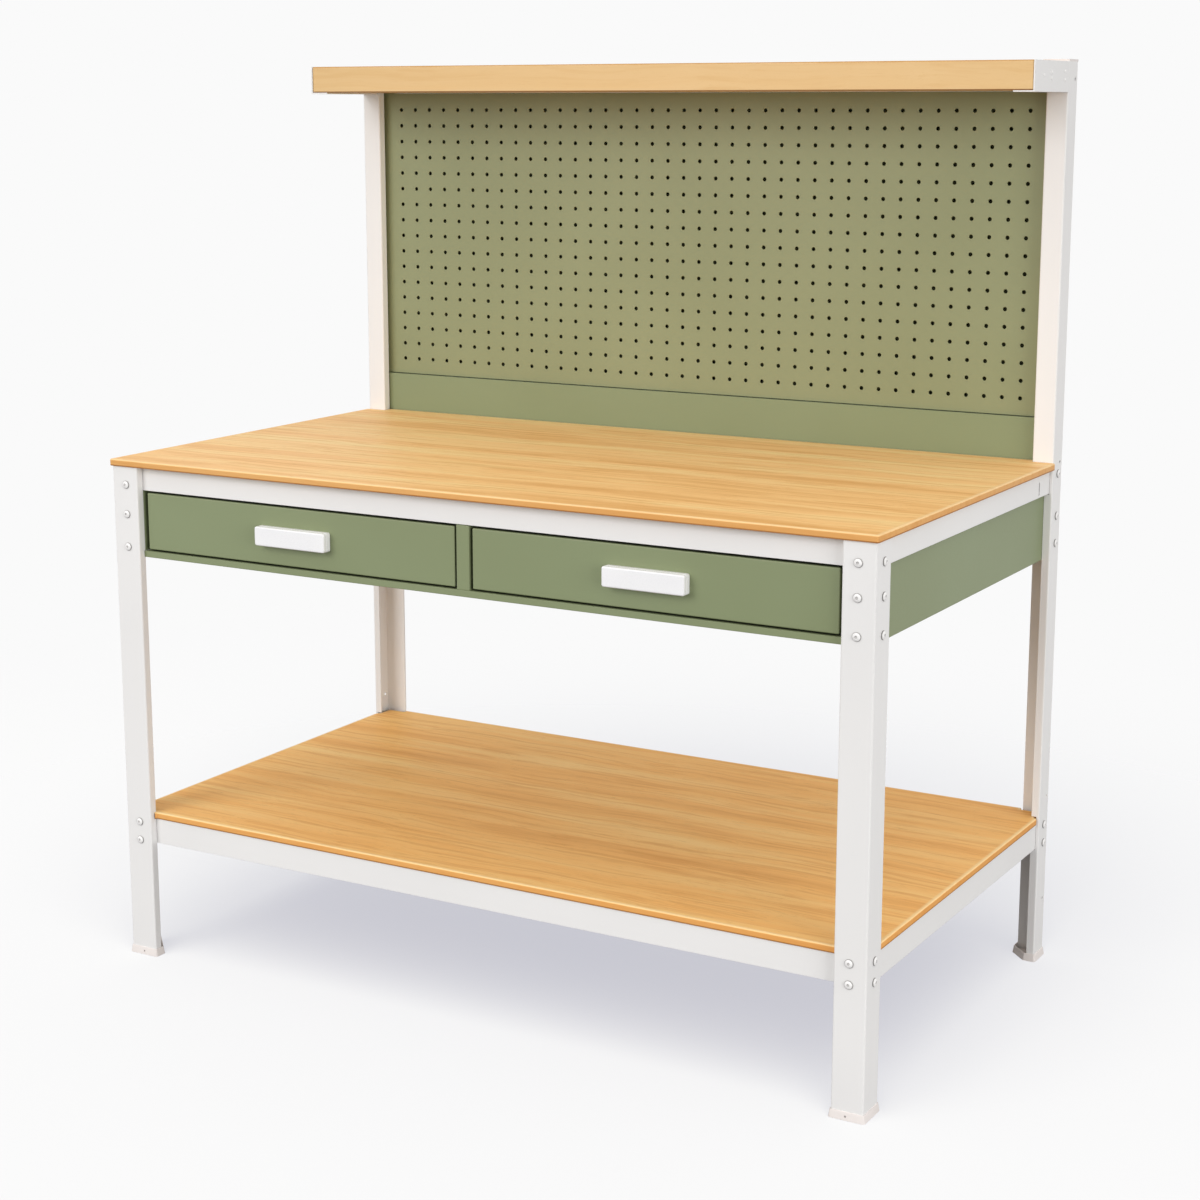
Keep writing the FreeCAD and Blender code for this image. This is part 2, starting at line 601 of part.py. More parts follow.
# Rear rails: channels against the uprights' rear flanges, with flanges between the uprights.
def rear_rail(label, bottom, top, bolts):
    body = new_body(label)
    pad(body, "Web", "XY_Plane", bottom, top, [rectangle(
        minus("tab_end"), "tab_end", "rear_inside - rail_sheet", "rear_inside")])
    flange = rectangle(minus("upright_inner_edge"), "upright_inner_edge",
                       "rear_inside - rail_flange", "rear_inside")
    pad(body, "TopFlange", "XY_Plane", top + " - rail_sheet", top, [flange])
    pad(body, "BottomFlange", "XY_Plane", bottom, bottom + " + rail_sheet", [flange])
    centres = [("leg_bolt_across", level) for level in bolts]
    centres += [(minus("leg_bolt_across"), level) for level in bolts]
    holes(body, "BoltHoles", "XZ_Plane", "rear_inside - rail_sheet", "rear_inside",
          "bolt_hole", centres)
    return body


# Side rails: channels just inside the posts' side lips, with ends set out against the posts.
def side_rail(label, bottom, top, bolts, rear_bolts):
    body = new_body(label)
    pad(body, "Web", "XY_Plane", bottom, top, [[
        ("side_rail_face", "side_step"),
        ("side_inside", "side_step"),
        ("side_inside", "front_inside + rail_sheet + fit_gap"),
        ("side_inside - rail_sheet", "front_inside + rail_sheet + fit_gap"),
        ("side_inside - rail_sheet", "side_step - rail_sheet"),
        ("side_rail_face - rail_sheet", "side_step - rail_sheet"),
        ("side_rail_face - rail_sheet", "upright_step + rail_sheet"),
        ("side_inside - rail_sheet", "upright_step + rail_sheet"),
        ("side_inside - rail_sheet", "rear_inside - rail_sheet"),
        ("side_inside", "rear_inside - rail_sheet"),
        ("side_inside", "upright_step"),
        ("side_rail_face", "upright_step"),
    ]])
    fillet(body, "Bends", "rail_bend", 2, [
        ("side_inside", "side_step"),
        ("side_inside", "upright_step"),
    ])
    flange = rectangle("side_rail_face - rail_flange", "side_rail_face",
                       "side_step - rail_sheet", "upright_step + rail_sheet")
    pad(body, "TopFlange", "XY_Plane", top + " - rail_sheet", top, [flange])
    pad(body, "BottomFlange", "XY_Plane", bottom, bottom + " + rail_sheet", [flange])
    centres = [("leg_bolt_back", level) for level in bolts]
    centres += [("upright_bolt_back", level) for level in rear_bolts]
    holes(body, "BoltHoles", "YZ_Plane", "side_inside - rail_sheet", "side_inside",
          "bolt_hole", centres)
    return body


WORKTOP_BOLTS = ["worktop_bolt"]
WORKTOP_REAR_BOLTS = ["worktop_rear_bolt"]
SHELF_BOLTS = ["shelf_bolt_high", "shelf_bolt_low"]
keep(front_rail("worktop_front_rail", "worktop_rail_bottom", "worktop_under", WORKTOP_BOLTS))
keep(front_rail("shelf_front_rail", "shelf_rail_bottom", "shelf_under", SHELF_BOLTS))
keep(rear_rail("worktop_rear_rail", "worktop_rail_bottom", "worktop_under", WORKTOP_REAR_BOLTS))
keep(rear_rail("shelf_rear_rail", "shelf_rail_bottom", "shelf_under", SHELF_BOLTS))
worktop_side = side_rail("worktop_right_rail", "worktop_rail_bottom", "worktop_under",
                         WORKTOP_BOLTS, WORKTOP_REAR_BOLTS)
pocket(worktop_side, "Slot", "YZ_Plane", "side_rail_face - rail_sheet", "side_rail_face", [
    rectangle("rail_slot_place", "rail_slot_place + rail_slot_width",
              "rail_slot_low", "rail_slot_low + rail_slot_height")])
keep(worktop_side, mirror(worktop_side, "worktop_left_rail"))
shelf_side = side_rail("shelf_right_rail", "shelf_rail_bottom", "shelf_under", SHELF_BOLTS,
                       SHELF_BOLTS)
keep(shelf_side, mirror(shelf_side, "shelf_left_rail"))


# Crossbars: channels open below that stand in the front and rear rails.
def crossbar(label, bottom, top):
    body = new_body(label)
    edge = "crossbar_width / 2"
    pad(body, "Channel", "XZ_Plane", "front_rail_face + rail_sheet", "rear_inside - rail_sheet",
        [mirrored([
            (edge + " - rail_sheet", top + " - 2 * rail_sheet"),
            (edge + " - rail_sheet", bottom + " + rail_sheet"),
            (edge, bottom + " + rail_sheet"),
            (edge, top + " - rail_sheet"),
        ])])
    return body


keep(crossbar("worktop_crossbar", "worktop_rail_bottom", "worktop_under"))
keep(crossbar("shelf_crossbar", "shelf_rail_bottom", "shelf_under"))

# Worktop: one board, whose tongue reaches back between the uprights.
worktop = new_body("worktop_board")
pad(worktop, "Board", "XY_Plane", "worktop_under", "worktop_height", [mirrored([
    ("half_width", "front_edge"),
    ("half_width", "upright_front - fit_gap"),
    ("return_lip_edge - fit_gap", "upright_front - fit_gap"),
    ("return_lip_edge - fit_gap", "low_panel_face - fit_gap"),
])])
fillet(worktop, "FrontArris", "worktop_arris", 0, [("front_edge", "worktop_height")])
fillet(worktop, "SideArris", "worktop_arris", 1, [
    ("half_width", "worktop_height"),
    (minus("half_width"), "worktop_height"),
])
keep(worktop)

# Shelf: one board, notched round the legs and the uprights.
shelf = new_body("shelf_board")
pad(shelf, "Board", "XY_Plane", "shelf_under", "shelf_height", [mirrored([
    ("leg_inner_edge - shelf_notch_gap", "front_rail_face - shelf_overhang"),
    ("leg_inner_edge - shelf_notch_gap", "leg_rear_edge + shelf_notch_gap"),
    ("side_face - shelf_inset", "leg_rear_edge + shelf_notch_gap"),
    ("side_face - shelf_inset", "upright_front - shelf_notch_gap"),
    ("upright_inner_edge - shelf_notch_gap", "upright_front - shelf_notch_gap"),
    ("upright_inner_edge - shelf_notch_gap", "rear_inside"),
])])
keep(shelf)

# Drawer case. A side is one folded sheet: inner wall, box inside the leg, outer wall, and an ear
# inside the upright.
case_side = new_body("case_right_side")
pad(case_side, "Sheet", "XY_Plane", "case_base", "case_top", [[
    ("side_inside", "rear_inside - rail_sheet"),
    ("side_inside", "upright_step"),
    ("case_wall", "upright_step"),
    ("case_wall", "side_step"),
    ("side_inside", "side_step"),
    ("side_inside", "front_inside"),
    ("front_step", "front_inside"),
    ("front_step", "front_rail_face"),
    ("leg_inner_edge", "front_rail_face"),
    ("leg_inner_edge", "case_rear"),
    ("leg_inner_edge + case_sheet", "case_rear"),
    ("leg_inner_edge + case_sheet", "front_rail_face + case_sheet"),
    ("front_step + case_sheet", "front_rail_face + case_sheet"),
    ("front_step + case_sheet", "front_inside + case_sheet"),
    ("side_inside - case_sheet", "front_inside + case_sheet"),
    ("side_inside - case_sheet", "side_step - case_sheet"),
    ("case_wall_inside", "side_step - case_sheet"),
    ("case_wall_inside", "upright_step + case_sheet"),
    ("side_inside - case_sheet", "upright_step + case_sheet"),
    ("side_inside - case_sheet", "rear_inside - rail_sheet"),
]])
fillet(case_side, "Bends", "case_bend", 2, [
    ("front_step", "front_inside"),
    ("side_inside", "front_inside"),
    ("side_inside", "side_step"),
    ("side_inside", "upright_step"),
])
pad(case_side, "Skirt", "XY_Plane", "case_bottom", "case_base", [rectangle(
    "case_wall_inside", "case_wall", "side_step", "upright_step")])
CASE_BOLTS = ["case_bolt_high", "case_bolt_low"]
holes(case_side, "FrontHoles", "XZ_Plane", "front_inside", "front_inside + case_sheet",
      "bolt_hole", [("leg_bolt_across", level) for level in CASE_BOLTS])
holes(case_side, "SideHoles", "YZ_Plane", "side_inside - case_sheet", "side_inside",
      "bolt_hole", [("leg_bolt_back", level) for level in CASE_BOLTS])
CASE_REAR_BOLTS = ["case_bolt_high", "case_rear_bolt"]
holes(case_side, "EarHoles", "YZ_Plane", "side_inside - case_sheet", "side_inside",
      "bolt_hole", [("upright_bolt_back", level) for level in CASE_REAR_BOLTS])
keep(case_side, mirror(case_side, "case_left_side"))

divider = new_body("case_divider")
pad(divider, "Sheet", "XY_Plane", "case_base", "case_top", [mirrored([
    ("divider_half - case_sheet", "divider_face + case_sheet"),
    ("divider_half - case_sheet", "case_rear"),
    ("divider_half", "case_rear"),
    ("divider_half", "divider_face"),
])])
keep(divider)

back = new_body("case_back")
pad(back, "Channel", "YZ_Plane", minus("case_wall_inside"), "case_wall_inside", [[
    ("case_rear", "case_bottom"),
    ("case_rear + case_flange", "case_bottom"),
    ("case_rear + case_flange", "case_bottom + case_sheet"),
    ("case_rear + case_sheet", "case_bottom + case_sheet"),
    ("case_rear + case_sheet", "case_top - case_sheet"),
    ("case_rear + case_flange", "case_top - case_sheet"),
    ("case_rear + case_flange", "case_top"),
    ("case_rear", "case_top"),
]])
keep(back)

floor = new_body("case_floor")
pad(floor, "Sheet", "XY_Plane", "case_base - case_sheet", "case_base", [mirrored([
    ("leg_inner_edge + case_sheet", "case_bottom_rear"),
    ("leg_inner_edge + case_sheet", "side_step"),
    ("case_wall_inside", "side_step"),
    ("case_wall_inside", "case_rear"),
])])
keep(floor)

bottom_rail = new_body("case_bottom_rail")
pad(bottom_rail, "Channel", "YZ_Plane", minus("leg_inner_edge - fit_gap"),
    "leg_inner_edge - fit_gap", [[
        ("case_bottom_face", "case_bottom"),
        ("case_bottom_rear", "case_bottom"),
        ("case_bottom_rear", "case_bottom + case_sheet"),
        ("case_bottom_face + case_sheet", "case_bottom + case_sheet"),
        ("case_bottom_face + case_sheet", "case_base - case_sheet"),
        ("case_bottom_rear", "case_base - case_sheet"),
        ("case_bottom_rear", "case_base"),
        ("case_bottom_face", "case_base"),
    ]])
keep(bottom_rail)

# Right drawer; the left one is its mirror image.
HANDLE_SCREWS = [("handle_middle - handle_screw_reach", "handle_level"),
                 ("handle_middle + handle_screw_reach", "handle_level")]
drawer_front = new_body("right_drawer_front")
pad(drawer_front, "Block", "XZ_Plane", "front_rail_face", "drawer_back", [rectangle(
    "drawer_near", "drawer_far", "drawer_low", "drawer_high")])
fillet(drawer_front, "LongEdges", "drawer_arris", 0, [
    ("front_rail_face", "drawer_low"),
    ("front_rail_face", "drawer_high"),
])
fillet(drawer_front, "ShortEdges", "drawer_arris", 2, [
    ("drawer_near", "front_rail_face"),
    ("drawer_far", "front_rail_face"),
])
pocket(drawer_front, "Hollow", "XZ_Plane", "drawer_inside", "drawer_back", [rectangle(
    "drawer_near + drawer_sheet", "drawer_far - drawer_sheet",
    "drawer_low + drawer_sheet", "drawer_high - drawer_sheet")])
holes(drawer_front, "ScrewHoles", "XZ_Plane", "front_rail_face", "drawer_inside", "handle_screw",
      HANDLE_SCREWS)

tray = new_body("right_drawer_tray")
pad(tray, "Block", "XY_Plane", "tray_low", "tray_high", [rectangle(
    "tray_near", "tray_far", "drawer_inside", "tray_rear")])
pocket(tray, "Hollow", "YZ_Plane", "tray_near + drawer_sheet", "tray_far - drawer_sheet", [
    rectangle("drawer_inside + drawer_sheet", "tray_rear - drawer_sheet",
              "tray_low + drawer_sheet", "tray_high - drawer_sheet")])
pocket(tray, "Mouth", "XY_Plane", "tray_low + drawer_sheet", "tray_high", [rectangle(
    "tray_near + tray_hem", "tray_far - tray_hem",
    "drawer_inside + drawer_sheet", "tray_rear - drawer_sheet")])
holes(tray, "ScrewHoles", "XZ_Plane", "drawer_inside", "drawer_inside + drawer_sheet",
      "handle_screw", HANDLE_SCREWS)

handle = new_body("right_drawer_handle")
handle_left = "handle_middle - handle_length / 2"
handle_right = "handle_middle + handle_length / 2"
pad(handle, "Bar", "XZ_Plane", "handle_front", "front_rail_face", [rectangle(
    handle_left, handle_right, "handle_low", "handle_high")])
fillet(handle, "LongEdges", "handle_round", 0, [
    ("handle_front", "handle_low"),
    ("handle_front", "handle_high"),
])
pocket(handle, "FingerGap", "XY_Plane", "handle_low - handle_wall", "handle_high - handle_wall", [
    rectangle(handle_left + " + handle_end", handle_right + " - handle_end",
              "handle_front + handle_wall", "front_rail_face - handle_back")])
holes(handle, "ScrewHoles", "XZ_Plane", "front_rail_face - handle_screw_grip", "front_rail_face",
      "handle_screw", HANDLE_SCREWS)


# Slide members: channels that run inside each other.
def channel(label, web, towards, depth, half):
    """Channel whose back stands at web and whose flanges point to the tray or away from it."""
    def out(text):
        return "%s %s (%s)" % (web, towards, text)
    body = new_body(label)
    low = "slide_level - (%s)" % half
    high = "slide_level + (%s)" % half
    pad(body, "Channel", "XZ_Plane", "slide_front", "slide_rear", [[
        (web, low),
        (web, high),
        (out(depth), high),
        (out(depth), high + " - slide_sheet"),
        (out("slide_sheet"), high + " - slide_sheet"),
        (out("slide_sheet"), low + " + slide_sheet"),
        (out(depth), low + " + slide_sheet"),
        (out(depth), low),
    ]])
    return body


cabinet = channel("right_drawer_right_cabinet_slide", "leg_inner_edge", "-", "slide_flange",
                  "slide_height / 2")
middle = channel("right_drawer_right_middle_slide", "middle_web", "-", "slide_middle_flange",
                 "middle_half")
inner = channel("right_drawer_right_inner_slide", "tray_far", "+", "slide_inner_flange",
                "inner_half")
for member, name in ((cabinet, "cabinet"), (middle, "middle"), (inner, "inner")):
    twin = mirror(member, "right_drawer_left_%s_slide" % name, "tray_middle")
    keep(member, twin)
    keep(mirror(member, "left_drawer_left_%s_slide" % name))
    keep(mirror(twin, "left_drawer_right_%s_slide" % name))
for piece, name in ((drawer_front, "front"), (tray, "tray"), (handle, "handle")):
    keep(piece, mirror(piece, "left_drawer_%s" % name))

# Back of the pegboard: a pan that closes the space behind it.
pan = new_body("pegboard_back_pan")
pad(pan, "Block", "XZ_Plane", "peg_back", "rear_inside", [rectangle(
    minus("panel_edge"), "panel_edge", "peg_bottom", "peg_top")])
pocket(pan, "Hollow", "XZ_Plane", "peg_back", "pan_inside", [rectangle(
    minus("panel_edge - panel_sheet"), "panel_edge - panel_sheet",
    "peg_bottom + panel_sheet", "peg_top - panel_sheet")])
holes(pan, "ScrewHoles", "XZ_Plane", "pan_inside", "rear_inside", "panel_screw",
      [("panel_screw_across", level) for level in PAN_SCREWS]
      + [(minus("panel_screw_across"), level) for level in PAN_SCREWS])
keep(pan)

# Panel between the worktop and the pegboard, folded to a channel with lips behind.
low_panel = new_body("lower_back_panel")
pad(low_panel, "Sheet", "YZ_Plane", minus("panel_edge"), "panel_edge", [[
    ("low_panel_face", "low_panel_bottom"),
    ("rear_inside", "low_panel_bottom"),
    ("rear_inside", "low_panel_bottom + low_panel_lip"),
    ("pan_inside", "low_panel_bottom + low_panel_lip"),
    ("pan_inside", "low_panel_bottom + panel_sheet"),
    ("low_panel_face + panel_sheet", "low_panel_bottom + panel_sheet"),
    ("low_panel_face + panel_sheet", "low_panel_top - panel_sheet"),
    ("pan_inside", "low_panel_top - panel_sheet"),
    ("pan_inside", "low_panel_top - low_panel_lip"),
    ("rear_inside", "low_panel_top - low_panel_lip"),
    ("rear_inside", "low_panel_top"),
    ("low_panel_face", "low_panel_top"),
]])
holes(low_panel, "ScrewHoles", "XZ_Plane", "pan_inside", "rear_inside", "panel_screw",
      [("panel_screw_across", level) for level in LOW_PANEL_SCREWS]
      + [(minus("panel_screw_across"), level) for level in LOW_PANEL_SCREWS])
keep(low_panel)

# Top board and its end brackets.
BRACKET_SCREWS = [
    ("top_front + bracket_screw_first", "top_middle"),
    ("top_front + bracket_screw_second", "top_middle + bracket_pair_gap / 2"),
    ("top_front + bracket_screw_second", "top_middle - bracket_pair_gap / 2"),
    ("upright_front - bracket_screw_third", "top_middle + bracket_last_gap / 2"),
    ("upright_front - bracket_screw_third", "top_middle - bracket_last_gap / 2"),
]
top = new_body("top_board")
pad(top, "Board", "XY_Plane", "top_under", "upright_top", [mirrored([
    ("bracket_inside", "top_front"),
    ("bracket_inside", "bracket_rear_inside"),
    ("upright_inner_edge - fit_gap", "bracket_rear_inside"),
    ("upright_inner_edge - fit_gap", "rear_face - top_rear_gap"),
])])
fillet(top, "FrontArris", "top_arris", 0, [
    ("top_front", "upright_top"),
    ("top_front", "top_under"),
])
pilot_depth = "bracket_screw_length - bracket_plate"
holes(top, "RightPilots", "YZ_Plane", "bracket_inside - (%s)" % pilot_depth, "bracket_inside",
      "bracket_screw", BRACKET_SCREWS)
holes(top, "LeftPilots", "YZ_Plane", minus("bracket_inside"),
      "0 - bracket_inside + (%s)" % pilot_depth, "bracket_screw", BRACKET_SCREWS)
keep(top)

bracket = new_body("right_end_bracket")
pad(bracket, "SidePlate", "XY_Plane", "bracket_bottom", "upright_top", [rectangle(
    "bracket_inside", "side_face", "top_front", "upright_front")])
pad(bracket, "Ledge", "XY_Plane", "bracket_bottom", "top_under", [rectangle(
    "side_face - bracket_flange", "side_face", "top_front", "upright_front")])
pad(bracket, "RearPlate", "XY_Plane", "bracket_bottom", "upright_top", [rectangle(
    "side_face - bracket_flange", "side_face", "bracket_rear_inside", "upright_front")])
holes(bracket, "ScrewHoles", "YZ_Plane", "bracket_inside", "side_face", "bracket_screw_hole",
      BRACKET_SCREWS)
keep(bracket, mirror(bracket, "left_end_bracket"))


# Pegboard: one sheet with as many columns and rows of holes as fit, centred across the bench.
def disc_wire(place, direction, radius):
    return Part.Wire([Part.Circle(place, direction, radius).toShape()])


def vector(across, back, up):
    return FreeCAD.Vector(value(across), value(back), value(up))


def pegboard_shape():
    corners = [
        vector(minus("panel_edge"), "peg_face", "peg_bottom"),
        vector("panel_edge", "peg_face", "peg_bottom"),
        vector("panel_edge", "peg_face", "peg_top"),
        vector(minus("panel_edge"), "peg_face", "peg_top"),
    ]
    wires = [Part.makePolygon(corners + corners[:1])]
    columns = 1 + int(places.peg_column_room / sizes.peg_pitch_across)
    rows = 1 + int(places.peg_row_room / sizes.peg_pitch_up)
    for column in range(columns):
        across = (column - (columns - 1) / 2) * sizes.peg_pitch_across
        for row in range(rows):
            up = places.peg_lowest + row * sizes.peg_pitch_up
            centre = FreeCAD.Vector(across, places.peg_face, up)
            wires.append(disc_wire(centre, FreeCAD.Vector(0, 1, 0), sizes.peg_hole / 2))
    return Part.Face(wires).extrude(FreeCAD.Vector(0, sizes.panel_sheet, 0))


def feature(label, shape):
    piece = doc.addObject("Part::Feature", label)
    piece.Label = label
    piece.Shape = shape
    piece.Placement = FreeCAD.Placement()
    return keep(piece)


feature("pegboard_panel", pegboard_shape())


# Fasteners stand along +Z with the underside of the head at the origin, and are turned in place.
def domed_bolt(shank, head, height, length):
    """Plain shank below, and a head above: a rim with a dome that is part of a sphere."""
    rim = height * HEAD_RIM
    rise = height - rim
    ball = (head * head / 4 + rise * rise) / (2 * rise)
    middle = FreeCAD.Vector(head / 4, 0, height - ball + math.sqrt(ball * ball - head * head / 16))
    points = [FreeCAD.Vector(*spot) for spot in (
        (0, 0, height), (0, 0, -length), (shank / 2, 0, -length), (shank / 2, 0, 0),
        (head / 2, 0, 0), (head / 2, 0, rim))]
    edges = [Part.LineSegment(points[i], points[i + 1]).toShape() for i in range(5)]
    edges.append(Part.Arc(points[5], middle, points[0]).toShape())
    return Part.Face(Part.Wire(edges)).revolve(FreeCAD.Vector(0, 0, 0), FreeCAD.Vector(0, 0, 1), 360)


def hexagon_nut(width, height, bore, distance):
    """Nut whose upper face is a distance below the origin."""
    reach = width / math.sqrt(3)
    corners = [FreeCAD.Vector(reach * math.cos(math.radians(60 * i)),
                              reach * math.sin(math.radians(60 * i)), -distance - height)
               for i in range(7)]
    centre = FreeCAD.Vector(0, 0, -distance - height)
    hole = disc_wire(centre, FreeCAD.Vector(0, 0, -1), bore / 2)
    return Part.Face([Part.makePolygon(corners), hole]).extrude(FreeCAD.Vector(0, 0, height))


def placed(shape, place, direction):
    """Copy of a fastener whose head points along a direction."""
    copy = shape.copy()
    turn = FreeCAD.Rotation(FreeCAD.Vector(0, 0, 1), FreeCAD.Vector(*direction))
    copy.Placement = FreeCAD.Placement(place, turn)
    return copy


def frame_bolt_spots():
    """Place, direction and gripped thickness of each frame bolt."""
    spots = []
    for side in (-1, 1):
        across = side * places.leg_bolt_across
        for level in LEG_BOLTS:
            sheet = sizes.case_sheet if level in CASE_BOLTS else sizes.rail_sheet
            grip = sizes.leg_sheet + sheet
            front = FreeCAD.Vector(across, places.front_face, value(level))
            spots.append((front, (0, -1, 0), grip))
            beside = FreeCAD.Vector(side * places.side_face, places.leg_bolt_back, value(level))
            spots.append((beside, (side, 0, 0), grip))
        for level in SIDE_BOLTS:
            sheet = sizes.rail_sheet
            if level in CASE_REAR_BOLTS:
                sheet = sizes.case_sheet
            beside = FreeCAD.Vector(side * places.side_face, places.upright_bolt_back,
                                    value(level))
            spots.append((beside, (side, 0, 0), sizes.leg_sheet + sheet))
        for level in REAR_BOLTS:
            behind = FreeCAD.Vector(across, places.rear_face, value(level))
            spots.append((behind, (0, 1, 0), sizes.leg_sheet + sizes.rail_sheet))
    return spots


bolt = domed_bolt(sizes.bolt_shank, sizes.bolt_head, sizes.bolt_head_height, sizes.bolt_length)
spots = frame_bolt_spots()
feature("frame_bolts", Part.makeCompound([placed(bolt, spot[0], spot[1]) for spot in spots]))
feature("frame_nuts", Part.makeCompound([
    placed(hexagon_nut(sizes.nut_width, sizes.nut_height, sizes.bolt_shank, grip), place, way)
    for place, way, grip in spots]))

bracket_screw = domed_bolt(sizes.bracket_screw, sizes.bracket_screw_head,
                           sizes.bracket_screw_head_height, sizes.bracket_screw_length)
feature("bracket_screws", Part.makeCompound([
    placed(bracket_screw, FreeCAD.Vector(side * places.side_face, value(back), value(up)),
           (side, 0, 0))
    for side in (-1, 1) for back, up in BRACKET_SCREWS]))

panel_screw = domed_bolt(sizes.panel_screw, sizes.panel_screw_head,
                         sizes.panel_screw_head_height, sizes.panel_screw_length)
feature("panel_screws", Part.makeCompound([
    placed(panel_screw,
           FreeCAD.Vector(side * places.panel_screw_across, places.rear_face, value(level)),
           (0, 1, 0))
    for side in (-1, 1) for level in PAN_SCREWS + LOW_PANEL_SCREWS]))

handle_screw = domed_bolt(sizes.handle_screw, sizes.handle_screw_head,
                          sizes.handle_screw_head_height,
                          2 * sizes.drawer_sheet + sizes.handle_screw_grip)
for side, label in ((-1, "left_handle_screws"), (1, "right_handle_screws")):
    feature(label, Part.makeCompound([
        placed(handle_screw,
               FreeCAD.Vector(side * value(across), value("drawer_inside + drawer_sheet"),
                              value(up)),
               (0, 1, 0))
        for across, up in HANDLE_SCREWS]))

doc.recompute()
for item in doc.Objects:
    if "Invalid" in item.State or "Error" in item.State:
        raise RuntimeError("%s did not compute: %s" % (item.Label, item.State))
for node in nodes:
    if node.Shape.isNull() or not node.Shape.isValid():
        raise RuntimeError(node.Label + " has no valid shape")
os.makedirs("parts", exist_ok=True)
for node in nodes:
    node.Shape.exportStep("parts/%s.step" % node.Label)
print(len(nodes), "pieces")
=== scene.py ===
"""Looks of a steel workbench with wooden boards, two drawers and a pegboard back.

Metres, +Z up, +X to the right, the user stands on the -Y side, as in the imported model.
"""

import json
import logging
import math
from dataclasses import dataclass
from enum import Enum, IntEnum

import bpy
import numpy as np
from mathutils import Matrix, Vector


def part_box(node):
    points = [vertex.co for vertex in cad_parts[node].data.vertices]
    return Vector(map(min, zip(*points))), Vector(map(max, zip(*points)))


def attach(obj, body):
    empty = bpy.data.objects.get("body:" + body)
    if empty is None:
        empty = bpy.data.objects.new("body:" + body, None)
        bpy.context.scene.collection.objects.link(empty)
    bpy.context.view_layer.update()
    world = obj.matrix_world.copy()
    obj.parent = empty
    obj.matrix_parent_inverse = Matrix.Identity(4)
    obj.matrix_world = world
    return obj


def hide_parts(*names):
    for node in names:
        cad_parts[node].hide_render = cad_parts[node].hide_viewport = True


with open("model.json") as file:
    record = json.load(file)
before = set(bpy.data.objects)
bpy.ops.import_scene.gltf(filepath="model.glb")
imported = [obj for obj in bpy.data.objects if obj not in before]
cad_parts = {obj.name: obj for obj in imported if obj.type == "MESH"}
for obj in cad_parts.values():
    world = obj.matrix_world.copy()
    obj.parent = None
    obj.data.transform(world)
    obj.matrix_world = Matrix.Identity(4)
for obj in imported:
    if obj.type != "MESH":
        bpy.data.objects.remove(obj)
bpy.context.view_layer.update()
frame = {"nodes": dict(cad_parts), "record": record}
MM = 0.001
SHARP_ANGLE = 35.0
log = logging.getLogger("workbench")


class Body(Enum):
    """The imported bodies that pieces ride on."""

    BENCH = "bench"
    LEFT_DRAWER = "left_drawer"
    RIGHT_DRAWER = "right_drawer"


class Tone(IntEnum):
    """Parts of a board's surface, as its attribute edge_tone numbers them: the seam carries a
    painted contact shadow, and the arris a painted highlight, on the top board a painted dark line.
    """

    ARRIS = -1
    FACE = 0
    EDGE = 1
    SEAM = 2


class Along(Enum):
    """Ways in which a prism's heights run."""

    UP = "+Z"
    FORWARD = "-Y"


class Reach(Enum):
    """What a lamp lights, as the state of the floor in its light linking."""

    FLOOR_ALONE = "INCLUDE"
    ALL_BUT_FLOOR = "EXCLUDE"


def linear(hex_colour: str) -> tuple[float, float, float, float]:
    """Turns an sRGB hex colour to linear light.

    Args:
        hex_colour: Six hex digits after a hash.

    Returns:
        Linear red, green and blue, and an alpha of one.
    """
    values = np.array([int(hex_colour[i:i + 2], 16) for i in (1, 3, 5)]) / 255
    light = np.where(values <= 0.04045, values / 12.92, ((values + 0.055) / 1.055) ** 2.4)
    return (*light.tolist(), 1.0)


def add(tree: bpy.types.NodeTree, kind: str, settings: dict, inputs: dict) -> bpy.types.Node:
    """Adds a node with its settings and links.

    Args:
        tree: The material's or world's node tree.
        kind: The node's type name.
        settings: Property names and values. The name stops stands for a colour ramp's places,
            from zero to one, with their sRGB hex colours.
        inputs: Socket names or numbers, each with a value or an output socket.

    Returns:
        The new node.
    """
    node = tree.nodes.new(kind)
    for name, value in settings.items():
        if name == "stops":
            elements = node.color_ramp.elements
            while len(elements) < len(value):
                elements.new(0.5)
            for element, (spot, colour) in zip(elements, value):
                element.position = spot
                element.color = linear(colour)
        else:
            setattr(node, name, value)
    for name, value in inputs.items():
        if isinstance(value, bpy.types.NodeSocket):
            tree.links.new(value, node.inputs[name])
        else:
            node.inputs[name].default_value = value
    return node


def blank(name: str) -> tuple[bpy.types.Material, bpy.types.NodeTree]:
    """Makes a material with an empty node tree.

    Args:
        name: The material's name.

    Returns:
        The material and its tree.
    """
    material = bpy.data.materials.new(name)
    material.use_nodes = True
    material.node_tree.nodes.clear()
    return material, material.node_tree


def pattern_place(tree: bpy.types.NodeTree, sizes_mm: tuple[float, float, float],
                  start: bpy.types.NodeSocket | None = None) -> bpy.types.NodeSocket:
    """Coordinates scaled so that one unit is one feature of a pattern.

    Args:
        tree: The material's node tree.
        sizes_mm: Real size of a feature along X, Y and Z.
        start: Coordinates in metres, or none for the object's own.

    Returns:
        The vector socket.
    """
    if start is None:
        start = add(tree, "ShaderNodeTexCoord", {}, {}).outputs["Object"]
    scale = [1 / (size * MM) for size in sizes_mm]
    return add(tree, "ShaderNodeMapping", {}, {"Vector": start, "Scale": scale}).outputs["Vector"]


